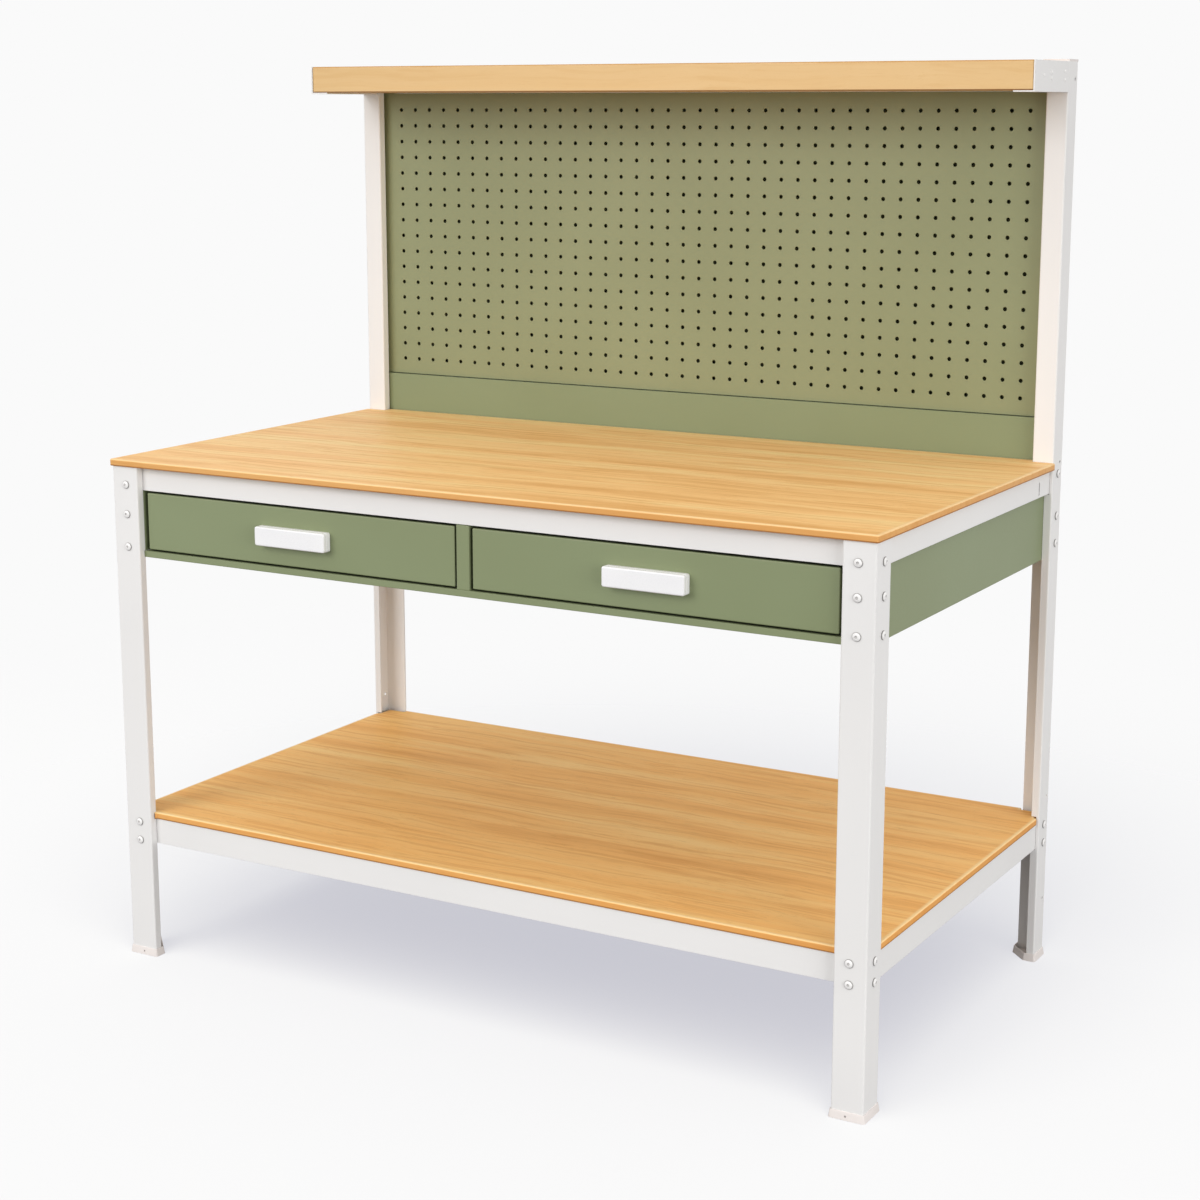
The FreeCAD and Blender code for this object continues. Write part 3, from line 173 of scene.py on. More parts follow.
@dataclass(frozen=True)
class PowderCoat:
    """Baked polyester powder on sheet steel: satin, with a fine orange peel and soft tone drift."""

    name: str
    colour: str
    shade: str
    roughness: float = 0.46
    roughness_step: float = 0.05
    drift_mm: float = 260.0
    gap_mm: float = 12.0
    gap_shade: float = 0.28
    peel_mm: float = 1.6
    peel_depth_mm: float = 0.06
    edge_mm: float = 0.7

    def build(self) -> bpy.types.Material:
        """Makes the node material.

        Returns:
            The material.
        """
        material, tree = blank(self.name)
        # The tone drifts by a step over a quarter of a metre, as the gun's passes overlap.
        drift = add(tree, "ShaderNodeTexNoise", {}, {
            "Vector": pattern_place(tree, (self.drift_mm,) * 3),
            "Scale": 1.0, "Detail": 2.0, "Roughness": 0.5})
        drift_colour = add(tree, "ShaderNodeValToRGB", {
            "stops": [(0.3, self.shade), (0.7, self.colour)]}, {"Fac": drift.outputs["Fac"]})
        # Painted shade: ambient occlusion darkens the colour in the narrow gaps round the fronts
        # and between the sheets.
        free = add(tree, "ShaderNodeAmbientOcclusion", {"samples": 8}, {
            "Distance": self.gap_mm * MM})
        share = add(tree, "ShaderNodeMapRange", {}, {
            "Value": free.outputs["AO"], "From Min": 0.1, "From Max": 0.5,
            "To Min": self.gap_shade})
        gap_shaded = add(tree, "ShaderNodeVectorMath", {"operation": "SCALE"}, {
            0: drift_colour.outputs["Color"], "Scale": share.outputs["Result"]})
        # The peel is drawn at its real pitch of under two millimetres and shows only in highlights.
        peel = add(tree, "ShaderNodeTexNoise", {}, {
            "Vector": pattern_place(tree, (self.peel_mm,) * 3),
            "Scale": 1.0, "Detail": 1.0, "Roughness": 0.4})
        # Punched and folded sheet has no sharp edge: the coat rounds each one over.
        rounded = add(tree, "ShaderNodeBevel", {"samples": 4}, {"Radius": self.edge_mm * MM})
        bump = add(tree, "ShaderNodeBump", {}, {
            "Strength": 0.25, "Distance": self.peel_depth_mm * MM, "Height": peel.outputs["Fac"],
            "Normal": rounded.outputs["Normal"]})
        rough = add(tree, "ShaderNodeMapRange", {}, {
            "Value": peel.outputs["Fac"], "To Min": self.roughness - self.roughness_step,
            "To Max": self.roughness + self.roughness_step})
        shader = add(tree, "ShaderNodeBsdfPrincipled", {}, {
            "Base Color": gap_shaded.outputs["Vector"], "Roughness": rough.outputs["Result"],
            "IOR": 1.5, "Normal": bump.outputs["Normal"]})
        add(tree, "ShaderNodeOutputMaterial", {}, {"Surface": shader.outputs["BSDF"]})
        return material


@dataclass(frozen=True)
class LacqueredWood:
    """Pine boards under clear satin lacquer, with the grain along X.

    Figure, lines and pores have a length along the grain and a width across it.
    """

    name: str
    light: str
    middle: str
    dark: str
    pore: str
    edge: str
    arris: str
    seam: str
    gloss: float = 0.3
    roughness: float = 0.5
    wander_mm: tuple[float, float, float] = (238.1, 111.11, 111.11)
    sway_mm: float = 35.0
    figure_mm: tuple[float, float] = (769.2, 48.0)
    line_mm: tuple[float, float] = (416.67, 8.0)
    line_depth_mm: float = 0.12
    pore_mm: tuple[float, float] = (33.333, 0.9)

    def build(self) -> bpy.types.Material:
        """Makes the node material.

        Returns:
            The material.
        """
        material, tree = blank(self.name)
        # Slow wander of the grain across the board, so that the lines are never straight.
        wander = add(tree, "ShaderNodeTexNoise", {}, {
            "Vector": pattern_place(tree, self.wander_mm),
            "Scale": 1.0, "Detail": 2.0, "Roughness": 0.5})
        where = add(tree, "ShaderNodeTexCoord", {}, {})
        shift = add(tree, "ShaderNodeVectorMath", {"operation": "SCALE"}, {
            0: wander.outputs["Color"], "Scale": self.sway_mm * MM})
        moved = add(tree, "ShaderNodeVectorMath", {"operation": "ADD"}, {
            0: where.outputs["Object"], 1: shift.outputs["Vector"]})
        # The growth figure is bands a few centimetres wide and most of a metre long. The growth
        # lines are fine and long, and darker where the late wood is dense. The pores are short
        # dark dashes, under a millimetre across and a few centimetres long.
        figure, lines, pores = (
            add(tree, "ShaderNodeTexNoise", {}, {
                "Vector": pattern_place(tree, (length, width, width), moved.outputs["Vector"]),
                "Scale": 1.0, "Detail": detail, "Roughness": roughness}).outputs["Fac"]
            for (length, width), detail, roughness in (
                (self.figure_mm, 3.0, 0.55), (self.line_mm, 3.0, 0.6), (self.pore_mm, 1.0, 0.5)))
        coloured = add(tree, "ShaderNodeValToRGB", {
            "stops": [(0.12, self.dark), (0.45, self.middle), (0.7, self.light)]},
            {"Fac": figure}).outputs["Color"]
        tone = add(tree, "ShaderNodeAttribute", {"attribute_name": "edge_tone"}, {}).outputs["Fac"]
        # Lines and pores come first. The edge face takes a darker, more orange tone, the seam at
        # its foot a painted contact shadow, and the arris above it a painted highlight, on the top
        # board a painted dark line.
        for amount, start, end, most, shade in (
                (lines, 0.5, 0.64, 0.5, self.dark), (pores, 0.62, 0.74, 0.38, self.pore),
                (tone, Tone.FACE, Tone.EDGE, 0.75, self.edge),
                (tone, Tone.EDGE, Tone.SEAM, 0.9, self.seam),
                (tone, Tone.FACE, Tone.ARRIS, 0.8, self.arris)):
            share = add(tree, "ShaderNodeMapRange", {}, {
                "Value": amount, "From Min": start, "From Max": end, "To Max": most})
            coloured = add(tree, "ShaderNodeMix", {"data_type": "RGBA"}, {
                "Factor": share.outputs["Result"], 6: coloured, 7: linear(shade)}).outputs[2]
        rough = add(tree, "ShaderNodeMapRange", {}, {
            "Value": lines, "To Min": self.roughness - 0.06, "To Max": self.roughness + 0.08})
        bump = add(tree, "ShaderNodeBump", {}, {
            "Strength": 0.3, "Distance": self.line_depth_mm * MM, "Height": lines})
        shader = add(tree, "ShaderNodeBsdfPrincipled", {}, {
            "Base Color": coloured, "Roughness": rough.outputs["Result"], "IOR": 1.45,
            "Specular IOR Level": self.gloss, "Normal": bump.outputs["Normal"]})
        add(tree, "ShaderNodeOutputMaterial", {}, {"Surface": shader.outputs["BSDF"]})
        return material


@dataclass(frozen=True)
class MouldedPlastic:
    """Injection-moulded plastic: nearly even colour and a fine spark-eroded grain."""

    name: str
    colour: str
    shade: str
    roughness: float
    roughness_step: float = 0.04
    drift_mm: float = 45.455
    grain_mm: float = 0.8
    grain_depth_mm: float = 0.04

    def build(self) -> bpy.types.Material:
        """Makes the node material.

        Returns:
            The material.
        """
        material, tree = blank(self.name)
        drift = add(tree, "ShaderNodeTexNoise", {}, {
            "Vector": pattern_place(tree, (self.drift_mm,) * 3),
            "Scale": 1.0, "Detail": 2.0, "Roughness": 0.5})
        colour = add(tree, "ShaderNodeValToRGB", {
            "stops": [(0.3, self.shade), (0.7, self.colour)]}, {"Fac": drift.outputs["Fac"]})
        grain = add(tree, "ShaderNodeTexNoise", {}, {
            "Vector": pattern_place(tree, (self.grain_mm,) * 3),
            "Scale": 1.0, "Detail": 1.0, "Roughness": 0.5})
        bump = add(tree, "ShaderNodeBump", {}, {
            "Strength": 0.2, "Distance": self.grain_depth_mm * MM, "Height": grain.outputs["Fac"]})
        rough = add(tree, "ShaderNodeMapRange", {}, {
            "Value": grain.outputs["Fac"], "To Min": self.roughness - self.roughness_step,
            "To Max": self.roughness + self.roughness_step})
        shader = add(tree, "ShaderNodeBsdfPrincipled", {}, {
            "Base Color": colour.outputs["Color"], "Roughness": rough.outputs["Result"],
            "IOR": 1.49, "Normal": bump.outputs["Normal"]})
        add(tree, "ShaderNodeOutputMaterial", {}, {"Surface": shader.outputs["BSDF"]})
        return material


@dataclass(frozen=True)
class BoltEnamel:
    """White enamel on bolt heads, with painted shade in grey at the rim and in the socket."""

    name: str
    colour: str
    shadow_grey: str
    roughness: float = 0.4
    roughness_step: float = 0.05
    wander_mm: float = 1.1111
    wander_share: float = 0.3

    def build(self) -> bpy.types.Material:
        """Makes the node material.

        Returns:
            The material.
        """
        material, tree = blank(self.name)
        head_shade = add(tree, "ShaderNodeAttribute", {"attribute_name": "thin_coat"}, {})
        # The limit of the painted shade wanders by a fraction of a millimetre.
        wander = add(tree, "ShaderNodeTexNoise", {}, {
            "Vector": pattern_place(tree, (self.wander_mm,) * 3),
            "Scale": 1.0, "Detail": 1.0, "Roughness": 0.5})
        amount = add(tree, "ShaderNodeMath", {"operation": "MULTIPLY_ADD"}, {
            0: wander.outputs["Fac"], 1: self.wander_share, 2: -self.wander_share / 2})
        total = add(tree, "ShaderNodeMath", {"operation": "ADD", "use_clamp": True}, {
            0: head_shade.outputs["Fac"], 1: amount.outputs["Value"]})
        # Painted shade: the head turns grey at its rim and in its socket.
        colour = add(tree, "ShaderNodeValToRGB", {
            "stops": [(0.15, self.colour), (0.95, self.shadow_grey)]}, {"Fac": total.outputs["Value"]})
        rough = add(tree, "ShaderNodeMapRange", {}, {
            "Value": wander.outputs["Fac"], "To Min": self.roughness - self.roughness_step,
            "To Max": self.roughness + self.roughness_step})
        shader = add(tree, "ShaderNodeBsdfPrincipled", {}, {
            "Base Color": colour.outputs["Color"], "Roughness": rough.outputs["Result"],
            "IOR": 1.5})
        add(tree, "ShaderNodeOutputMaterial", {}, {"Surface": shader.outputs["BSDF"]})
        return material


@dataclass(frozen=True)
class ZincPlate:
    """Zinc-plated steel, drawn or rolled lengthways: bright grey with faint streaks along Y."""

    name: str
    colour: str
    shade: str
    roughness: float = 0.34
    streak_mm: tuple[float, float, float] = (1.4286, 83.333, 1.4286)

    def build(self) -> bpy.types.Material:
        """Makes the node material.

        Returns:
            The material.
        """
        material, tree = blank(self.name)
        streaks = add(tree, "ShaderNodeTexNoise", {}, {
            "Vector": pattern_place(tree, self.streak_mm),
            "Scale": 1.0, "Detail": 2.0, "Roughness": 0.5})
        colour = add(tree, "ShaderNodeValToRGB", {
            "stops": [(0.35, self.shade), (0.65, self.colour)]}, {"Fac": streaks.outputs["Fac"]})
        rough = add(tree, "ShaderNodeMapRange", {}, {
            "Value": streaks.outputs["Fac"], "To Min": self.roughness - 0.08,
            "To Max": self.roughness + 0.1})
        shader = add(tree, "ShaderNodeBsdfPrincipled", {}, {
            "Base Color": colour.outputs["Color"], "Metallic": 1.0,
            "Roughness": rough.outputs["Result"]})
        add(tree, "ShaderNodeOutputMaterial", {}, {"Surface": shader.outputs["BSDF"]})
        return material


class Slot(Enum):
    """The record's material slots."""

    FRAME = "frame_white"
    GREEN = "sage_green"
    PEG = "peg_green"
    WORKTOP = "worktop_wood"
    TOP = "top_wood"
    HANDLE = "handle_white"
    FOOT = "foot_white"
    BOLT = "bolt_white"
    ZINC = "zinc_steel"


Materials = dict[Slot, bpy.types.Material]
FINISHES = {
    Slot.FRAME: PowderCoat("warm_white_powder_coat", "#EDEBE9", "#E9E7E5"),
    Slot.GREEN: PowderCoat("sage_green_powder_coat", "#848E69", "#808963", edge_mm=1.6),
    Slot.PEG: PowderCoat("olive_sage_powder_coat", "#8D916A", "#878B64", 0.5),
    Slot.WORKTOP: LacqueredWood("lacquered_honey_pine", "#FFDB9A", "#FCC985", "#DEA055",
                                "#B97D3E", "#DA9C57", "#F5D098", "#A86F3C", gloss=0.2),
    Slot.TOP: LacqueredWood("lacquered_pale_pine", "#EDCE9D", "#E5C089", "#CD9A58", "#B98748",
                            "#E2BD86", "#C48F4E", "#82552A", figure_mm=(769.2, 18.0)),
    Slot.HANDLE: MouldedPlastic("gloss_white_abs", "#F4F3F3", "#F0EFF0", 0.28),
    Slot.FOOT: MouldedPlastic("matt_white_polypropylene", "#EBE3DF", "#E7DFDA", 0.55),
    Slot.BOLT: BoltEnamel("white_enamel_on_steel", "#F2F0EE", "#8A8784"),
    Slot.ZINC: ZincPlate("bright_zinc_plate", "#C9CBCE", "#B4B6BA"),
}


def rounded_outline(corners: np.ndarray, radius: float,
                    steps: int = 6) -> tuple[np.ndarray, np.ndarray]:
    """Closed outline with arcs for corners.

    Each arc starts one tangent length before its corner, where the tangent length is the radius
    times the tangent of half the turn, and its points turn about its centre at even angles.

    Args:
        corners: Corner points in order, anticlockwise, one row each.
        radius: Radius of the arcs.
        steps: Points on each arc.

    Returns:
        The points and their outward unit normals.
    """
    ahead = np.roll(corners, -1, axis=0) - corners
    ahead = ahead / np.linalg.norm(ahead, axis=1)[:, None]
    behind = np.roll(ahead, 1, axis=0)
    turn = np.arctan2(behind[:, 0] * ahead[:, 1] - behind[:, 1] * ahead[:, 0],
                      (behind * ahead).sum(1))
    reach = radius * np.tan(np.abs(turn) / 2)
    outward = np.stack([behind[:, 1], -behind[:, 0]], 1)
    side = np.sign(turn)[:, None]
    centre = corners - behind * reach[:, None] - outward * side * radius
    share = np.linspace(0, 1, steps)[None, :] * turn[:, None]
    cos, sin = np.cos(share), np.sin(share)
    normals = np.stack([outward[:, :1] * cos - outward[:, 1:] * sin,
                        outward[:, :1] * sin + outward[:, 1:] * cos], 2)
    points = centre[:, None, :] + normals * (side * radius)[:, None, :]
    return points.reshape(-1, 2), normals.reshape(-1, 2)


def rounded_edge(radius: float, points: int) -> np.ndarray:
    """Rings of a rounded edge, from the solid's side to its face.

    Over a quarter turn, the inset is the radius times one less the angle's cosine, and the
    distance from the face is the radius times one less its sine.

    Args:
        radius: Radius of the edge.
        points: Number of rings.

    Returns:
        Rows of inset and distance from the face.
    """
    angle = np.linspace(0, math.pi / 2, points)
    return radius * np.stack([1 - np.cos(angle), 1 - np.sin(angle)], 1)


def rectangle(low: tuple[float, float], high: tuple[float, float]) -> np.ndarray:
    """Corners of a rectangle, anticlockwise from the lowest."""
    return np.array([low, (high[0], low[1]), high, (low[0], high[1])])


def mirrored(half: list[tuple[float, float]]) -> np.ndarray:
    """Closes an outline, anticlockwise, with its mirror image across the middle plane.

    Args:
        half: Corners of the right half, front to back.

    Returns:
        All corners, one row each.
    """
    right = np.array(half)
    return np.concatenate([right, right[::-1] * (-1.0, 1.0)])


def loop_faces(rings: int, count: int) -> np.ndarray:
    """Quads between neighbouring closed rings of points.

    Args:
        rings: Number of rings.
        count: Points in each ring.

    Returns:
        Rows of four vertex numbers.
    """
    ring = np.arange(rings - 1)[:, None] * count
    here = np.arange(count)[None, :]
    there = (here + 1) % count
    quads = np.stack([ring + here, ring + there, ring + count + there, ring + count + here], 2)
    return quads.reshape(-1, 4)


def weld(vertices: np.ndarray, faces: np.ndarray) -> tuple[np.ndarray, np.ndarray]:
    """Joins points that lie within a micrometre of each other.

    Args:
        vertices: Points, one row each.
        faces: Rows of vertex numbers.

    Returns:
        The kept points and the renumbered faces.
    """
    keys = np.round(vertices, 6)
    first, number = np.unique(keys, axis=0, return_index=True, return_inverse=True)[1:]
    return vertices[first], number.reshape(-1)[faces]


def new_mesh(name: str, vertices: np.ndarray, faces: list,
             sharp: float = SHARP_ANGLE) -> bpy.types.Mesh:
    """Mesh from arrays, smooth except at sharp edges.

    Args:
        name: The mesh's name.
        vertices: Points, one row each, in metres.
        faces: Lists of vertex numbers.
        sharp: Edges that turn by more than this many degrees stay sharp.

    Returns:
        The mesh.
    """
    mesh = bpy.data.meshes.new(name)
    mesh.from_pydata(vertices.tolist(), [], faces)
    mesh.validate()
    mesh.shade_smooth()
    mesh.set_sharp_from_angle(angle=math.radians(sharp))
    return mesh


def prism(name: str, corners: np.ndarray, corner_radius: float, profile: np.ndarray,
          along: Along = Along.UP, kept_radius: float = 0.2) -> bpy.types.Mesh:
    """Closed solid: a rounded outline carried along a profile of insets and heights.

    A ring's points are the outline's points moved inwards along their normals by the inset. Where
    the inset comes near the corners' radius, the corners first move in along their mitres by the
    rest, so that each arc keeps a share of its radius.

    Args:
        name: The mesh's name.
        corners: The outline's corners, anticlockwise seen from the profile's end. They are in X
            and Y for heights that run up, and in X and Z for heights that run forward.
        corner_radius: Radius of the outline's corners.
        profile: Rows of inset and height.
        along: The way in which the heights run.
        kept_radius: The share of its radius that each arc keeps.

    Returns:
        The mesh.
    """
    ahead = np.roll(corners, -1, axis=0) - corners
    after = np.stack([ahead[:, 1], -ahead[:, 0]], 1) / np.linalg.norm(ahead, axis=1)[:, None]
    before = np.roll(after, 1, axis=0)
    mitre = (before + after) / (1 + (before * after).sum(1))[:, None]
    rings = []
    for inset in profile[:, 0]:
        rest = max(0.0, inset - (1 - kept_radius) * corner_radius)
        points, normals = rounded_outline(corners - mitre * rest, corner_radius)
        rings.append(points - normals * (inset - rest))
    flat = np.array(rings)
    level = np.broadcast_to(profile[:, 1][:, None], flat.shape[:2])
    if along is Along.UP:
        vertices = np.stack([flat[..., 0], flat[..., 1], level], 2)
    else:
        vertices = np.stack([flat[..., 0], -level, flat[..., 1]], 2)
    count = len(points)
    last = (len(profile) - 1) * count
    faces = loop_faces(len(profile), count).tolist()
    faces.append(list(range(count))[::-1])
    faces.append(list(range(last, last + count)))
    return new_mesh(name, vertices.reshape(-1, 3), faces)


def carve(mesh: bpy.types.Mesh, cutter: bpy.types.Mesh) -> bpy.types.Mesh:
    """Takes one closed mesh out of another.

    Args:
        mesh: The mesh that is cut.
        cutter: The closed mesh of what goes.

    Returns:
        The cut mesh.
    """
    whole = bpy.data.objects.new("whole", mesh)
    tool = bpy.data.objects.new("tool", cutter)
    for item in (whole, tool):
        bpy.context.scene.collection.objects.link(item)
    cut = whole.modifiers.new("cut", "BOOLEAN")
    cut.operation = "DIFFERENCE"
    cut.solver = "EXACT"
    cut.object = tool
    graph = bpy.context.evaluated_depsgraph_get()
    result = bpy.data.meshes.new_from_object(whole.evaluated_get(graph))
    result.set_sharp_from_angle(angle=math.radians(SHARP_ANGLE))
    for item in (whole, tool):
        bpy.data.objects.remove(item)
    return result


@dataclass
class Pieces:
    """The pieces of a sub-assembly, dressed in the finished materials."""

    materials: Materials

    def place(self, name: str, mesh: bpy.types.Mesh, body: Body, slot: Slot, node: str) -> None:
        """Adds a piece that rides a body and stands for a CAD node.

        Args:
            name: The piece's name.
            mesh: Its mesh, in place.
            body: The body that it rides.
            slot: Its material slot.
            node: The CAD node that it stands for.
        """
        piece = bpy.data.objects.new(name, mesh)
        bpy.context.scene.collection.objects.link(piece)
        mesh.materials.append(self.materials[slot])
        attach(piece, body.value)
        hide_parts(node)
        log.info("%s: %d faces", name, len(mesh.polygons))


@dataclass
class Boards(Pieces):
    """The worktop, the shelf and the top board."""

    arris: float = 2.0 * MM
    lower_arris: float = 0.6 * MM
    arc_points: int = 5
    ring_step: float = 0.3 * MM
    seam: float = 1.7 * MM
    arris_fade: float = 4.0 * MM
    arris_start: float = 0.6
    corner: float = 3.0 * MM
    notch: float = 1.5 * MM
    flange: float = 9.0 * MM
    slip: float = 0.3 * MM
    tongue: float = 6.2 * MM
    bracket_gap: float = 2.0 * MM
    # A copy of the worktop's wood with painted warm shade, for the shelf under the worktop.
    shaded_shelf_wood: LacqueredWood = LacqueredWood(
        "lacquered_pine_painted_shade", "#FFD086", "#FBBD6D", "#E29A4D", "#B97D3E", "#E09C55", "#FBD9A0",
        "#A9733C", gloss=0.1)

    def build(self) -> None:
        """Makes the three boards round the posts that stand in their corners."""
        low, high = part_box("worktop_board")
        post_low, post_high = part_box("rear_right_upright")
        tongue, rear = post_low.x + self.tongue, post_low.y - self.slip
        self.board("worktop", "worktop_board", Slot.WORKTOP, [
            (high.x, low.y), (high.x, rear), (tongue, rear), (tongue, high.y)])
        leg_low, leg_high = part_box("front_right_leg")
        low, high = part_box("shelf_board")
        gap = self.notch
        inside = leg_high.x - self.flange
        front, rear = leg_low.y + self.flange, post_high.y - self.flange
        # The shelf takes a more amber copy of the worktop's wood, in the same slot: painted warm
        # shade that stands in for the shade under the worktop.
        self.materials = {**self.materials, Slot.WORKTOP: self.shaded_shelf_wood.build()}
        self.board("shelf", "shelf_board", Slot.WORKTOP, [
            (leg_low.x - gap, low.y), (leg_low.x - gap, front), (inside, front),
            (inside, leg_high.y + gap), (high.x, leg_high.y + gap), (high.x, post_low.y - gap),
            (inside, post_low.y - gap), (inside, rear), (post_low.x - gap, rear),
            (post_low.x - gap, high.y)])
        low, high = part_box("top_board")
        side, end = post_low.x - self.slip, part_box("right_end_bracket")[1].y - self.bracket_gap
        self.board("top_plank", "top_board", Slot.TOP, [
            (high.x, low.y), (high.x, end), (side, end), (side, high.y)])

    def board(self, name: str, node: str, slot: Slot, half: list[tuple[float, float]]) -> None:
        """Makes one board with rounded edges.

        Args:
            name: The piece's name.
            node: The CAD node that it stands for.
            slot: Its material slot.
            half: Corners of the outline's right half.
        """
        low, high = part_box(node)
        rows = self.rows(low.z, high.z)
        mesh = prism(name, mirrored(half), self.corner, rows[:, :2])
        tones = np.repeat(rows[:, 2], len(mesh.vertices) // len(rows))
        mesh.attributes.new("edge_tone", "FLOAT", "POINT").data.foreach_set("value", tones)
        self.place(name, mesh, Body.BENCH, slot, node)

    def rows(self, low: float, high: float) -> np.ndarray:
        """Insets, heights and tones of a board's rings, from under it round the edge to its top.

        Both edges are quarter circles. A further ring beside each keeps the flat faces flat in
        smooth shading, and the tone fades across the first ring of the arris.

        Args:
            low: Height of the board's bottom.
            high: Height of its top.

        Returns:
            Rows of inset, height and tone.
        """
        small, large, step = self.lower_arris, self.arris, self.ring_step
        foot = rounded_edge(small, self.arc_points)[::-1] + (0.0, low)
        top = rounded_edge(large, self.arc_points) * (1.0, -1.0) + (0.0, high)
        painted_arris_tones = [self.arris_start] + [Tone.ARRIS] * (self.arc_points - 1)
        # The seam's tone is a painted contact shadow. The arris's tone is a painted highlight, and
        # on the top board a painted dark line; it fades out over the first millimetres of the top.
        return np.concatenate([
            [(small + 2 * step, low, Tone.FACE), (small + step, low, Tone.SEAM)],
            np.column_stack([foot, np.full(self.arc_points, Tone.SEAM)]),
            [(0.0, low + self.seam, Tone.SEAM), (0.0, low + self.seam + step, Tone.EDGE),
             (0.0, high - large - step, Tone.EDGE)],
            np.column_stack([top, painted_arris_tones]),
            [(large + step, high, Tone.ARRIS), (large + self.arris_fade, high, Tone.FACE)]])


@dataclass
class PullHandles(Pieces):
    """White bar pulls with a groove behind the front and a finger gap below.

    The groove's rows are shares of its depth and of the handle's depth.
    """

    corner: float = 3.2 * MM
    back_inset: float = 0.6 * MM
    back_rise: float = 0.4 * MM
    groove_depth: float = 1.3 * MM
    groove: tuple[tuple[float, float], ...] = (
        (0.0, 0.44), (0.35, 0.46), (1.0, 0.49), (1.0, 0.55), (0.35, 0.58), (0.0, 0.60))
    front_round: float = 2.0 * MM
    arc_points: int = 6
    side_step: float = 0.3 * MM
    front_step: float = 0.4 * MM
    wall: float = 3.5 * MM
    back: float = 2.5 * MM
    end: float = 14.0 * MM
    gap_round: float = 2.0 * MM
    gap_overrun: float = 5.0 * MM

    def build(self) -> None:
        """Makes both handles."""
        for body, node in ((Body.LEFT_DRAWER, "left_drawer_handle"),
                           (Body.RIGHT_DRAWER, "right_drawer_handle")):
            low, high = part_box(node)
            mesh = prism(node + "_bar", rectangle((low.x, low.z), (high.x, high.z)), self.corner,
                         self.profile(-high.y, high.y - low.y), Along.FORWARD)
            gap = rectangle((low.x + self.end, low.y + self.wall),
                            (high.x - self.end, high.y - self.back))
            roof, soft = high.z - self.wall, self.gap_round
            cutter = prism("gap", gap, soft, np.array([
                (0.0, low.z - self.gap_overrun), (0.0, roof - soft),
                (0.25 * soft, roof - 0.25 * soft), (0.8 * soft, roof)]))
            self.place(node + "_bar", carve(mesh, cutter), body, Slot.HANDLE, node)

    def profile(self, start: float, depth: float) -> np.ndarray:
        """Insets along the handle's depth, from the drawer's face to the bar's front.

        Args:
            start: Distance of the drawer's face along -Y.
            depth: Depth of the handle.

        Returns:
            Rows of inset and distance along -Y.
        """
        front = rounded_edge(self.front_round, self.arc_points) * (1.0, -1.0) + (0.0, depth)
        rows = np.concatenate([
            [(self.back_inset, 0.0), (0.0, self.back_rise)],
            np.array(self.groove) * (self.groove_depth, depth),
            [(0.0, depth - self.front_round - self.side_step)], front,
            [(self.front_round + self.front_step, depth)]])
        return rows + (0.0, start)


@dataclass
class ShoeFeet(Pieces):
    """Plastic shoes on the posts' ends: skirts that flare towards the floor."""

    wall: float = 3.0 * MM
    rim: float = 1.0 * MM
    sole: float = 3.0 * MM
    short_side: float = 16.0 * MM
    corner: float = 4.2 * MM
    round: float = 0.4 * MM
    skirt_rings: int = 5
    pin_radius: float = 1.5 * MM
    pin_corner: float = 0.15 * MM
    pin_height: float = 5.0 * MM
    pin_inset: float = 27.0 * MM
    pin_sides: int = 16

    def build(self) -> None:
        """Makes the four feet, each a square with its inner corner cut off."""
        for node in ("front_left_foot", "front_right_foot", "rear_left_foot",
                     "rear_right_foot"):
            low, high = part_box(node)
            side = 1.0 if "right" in node else -1.0
            face = -1.0 if "front" in node else 1.0
            wide, deep = high.x - low.x, high.y - low.y
            outer = np.array([high.x if side > 0 else low.x, high.y if face > 0 else low.y])
            short = self.short_side + self.wall
            shape = np.array([(wide, 0.0), (0.0, 0.0), (0.0, deep), (short, deep), (wide, short)])
            corners = outer - shape * (side, face)
            if side * face > 0:
                corners = corners[::-1]
            mesh = prism(node + "_shoe", corners, self.corner, self.profile(high.z))
            if face < 0:
                mesh = carve(mesh, self.pin(outer[0] - side * self.pin_inset, low.y))
            self.place(node + "_shoe", mesh, Body.BENCH, Slot.FOOT, node)

    def profile(self, top: float) -> np.ndarray:
        """Insets and heights, from the sole's edge up the skirt and down inside to the sole.

        The skirt's inset grows evenly from nothing on the floor to the wall less the rim at the
        top, and both of its edges are rounded.

        Args:
            top: Height of the foot.

        Returns:
            Rows of inset and height.
        """
        small, inset = self.round, self.wall - self.rim
        skirt = np.linspace(2 * small, top - 2 * small, self.skirt_rings)
        return np.concatenate([
            [(self.corner - small, 0.0), (2 * small, 0.0), (0.7 * small, 0.1 * small),
             (0.2 * small, 0.6 * small)], np.stack([skirt * inset / top, skirt], 1),
            [(inset, top - small), (inset + 0.3 * small, top - 0.3 * small),
             (inset + small, top), (self.wall - 0.3 * small, top),
             (self.wall, top - 0.3 * small), (self.wall, self.sole)]])

    def pin(self, middle: float, face: float) -> bpy.types.Mesh:
        """Round cutter for the hole in a front foot.

        Args:
            middle: Place of the hole along X.
            face: Place of the foot's front along Y.

        Returns:
            The closed mesh.
        """
        angle = np.arange(self.pin_sides) * 2 * math.pi / self.pin_sides
        corners = np.stack([middle + self.pin_radius * np.cos(angle),
                            self.pin_height + self.pin_radius * np.sin(angle)], 1)
        ends = np.array([(0.0, -face - 2 * self.wall), (0.0, self.wall - face)])
        return prism("pin", corners, self.pin_corner, ends, Along.FORWARD)


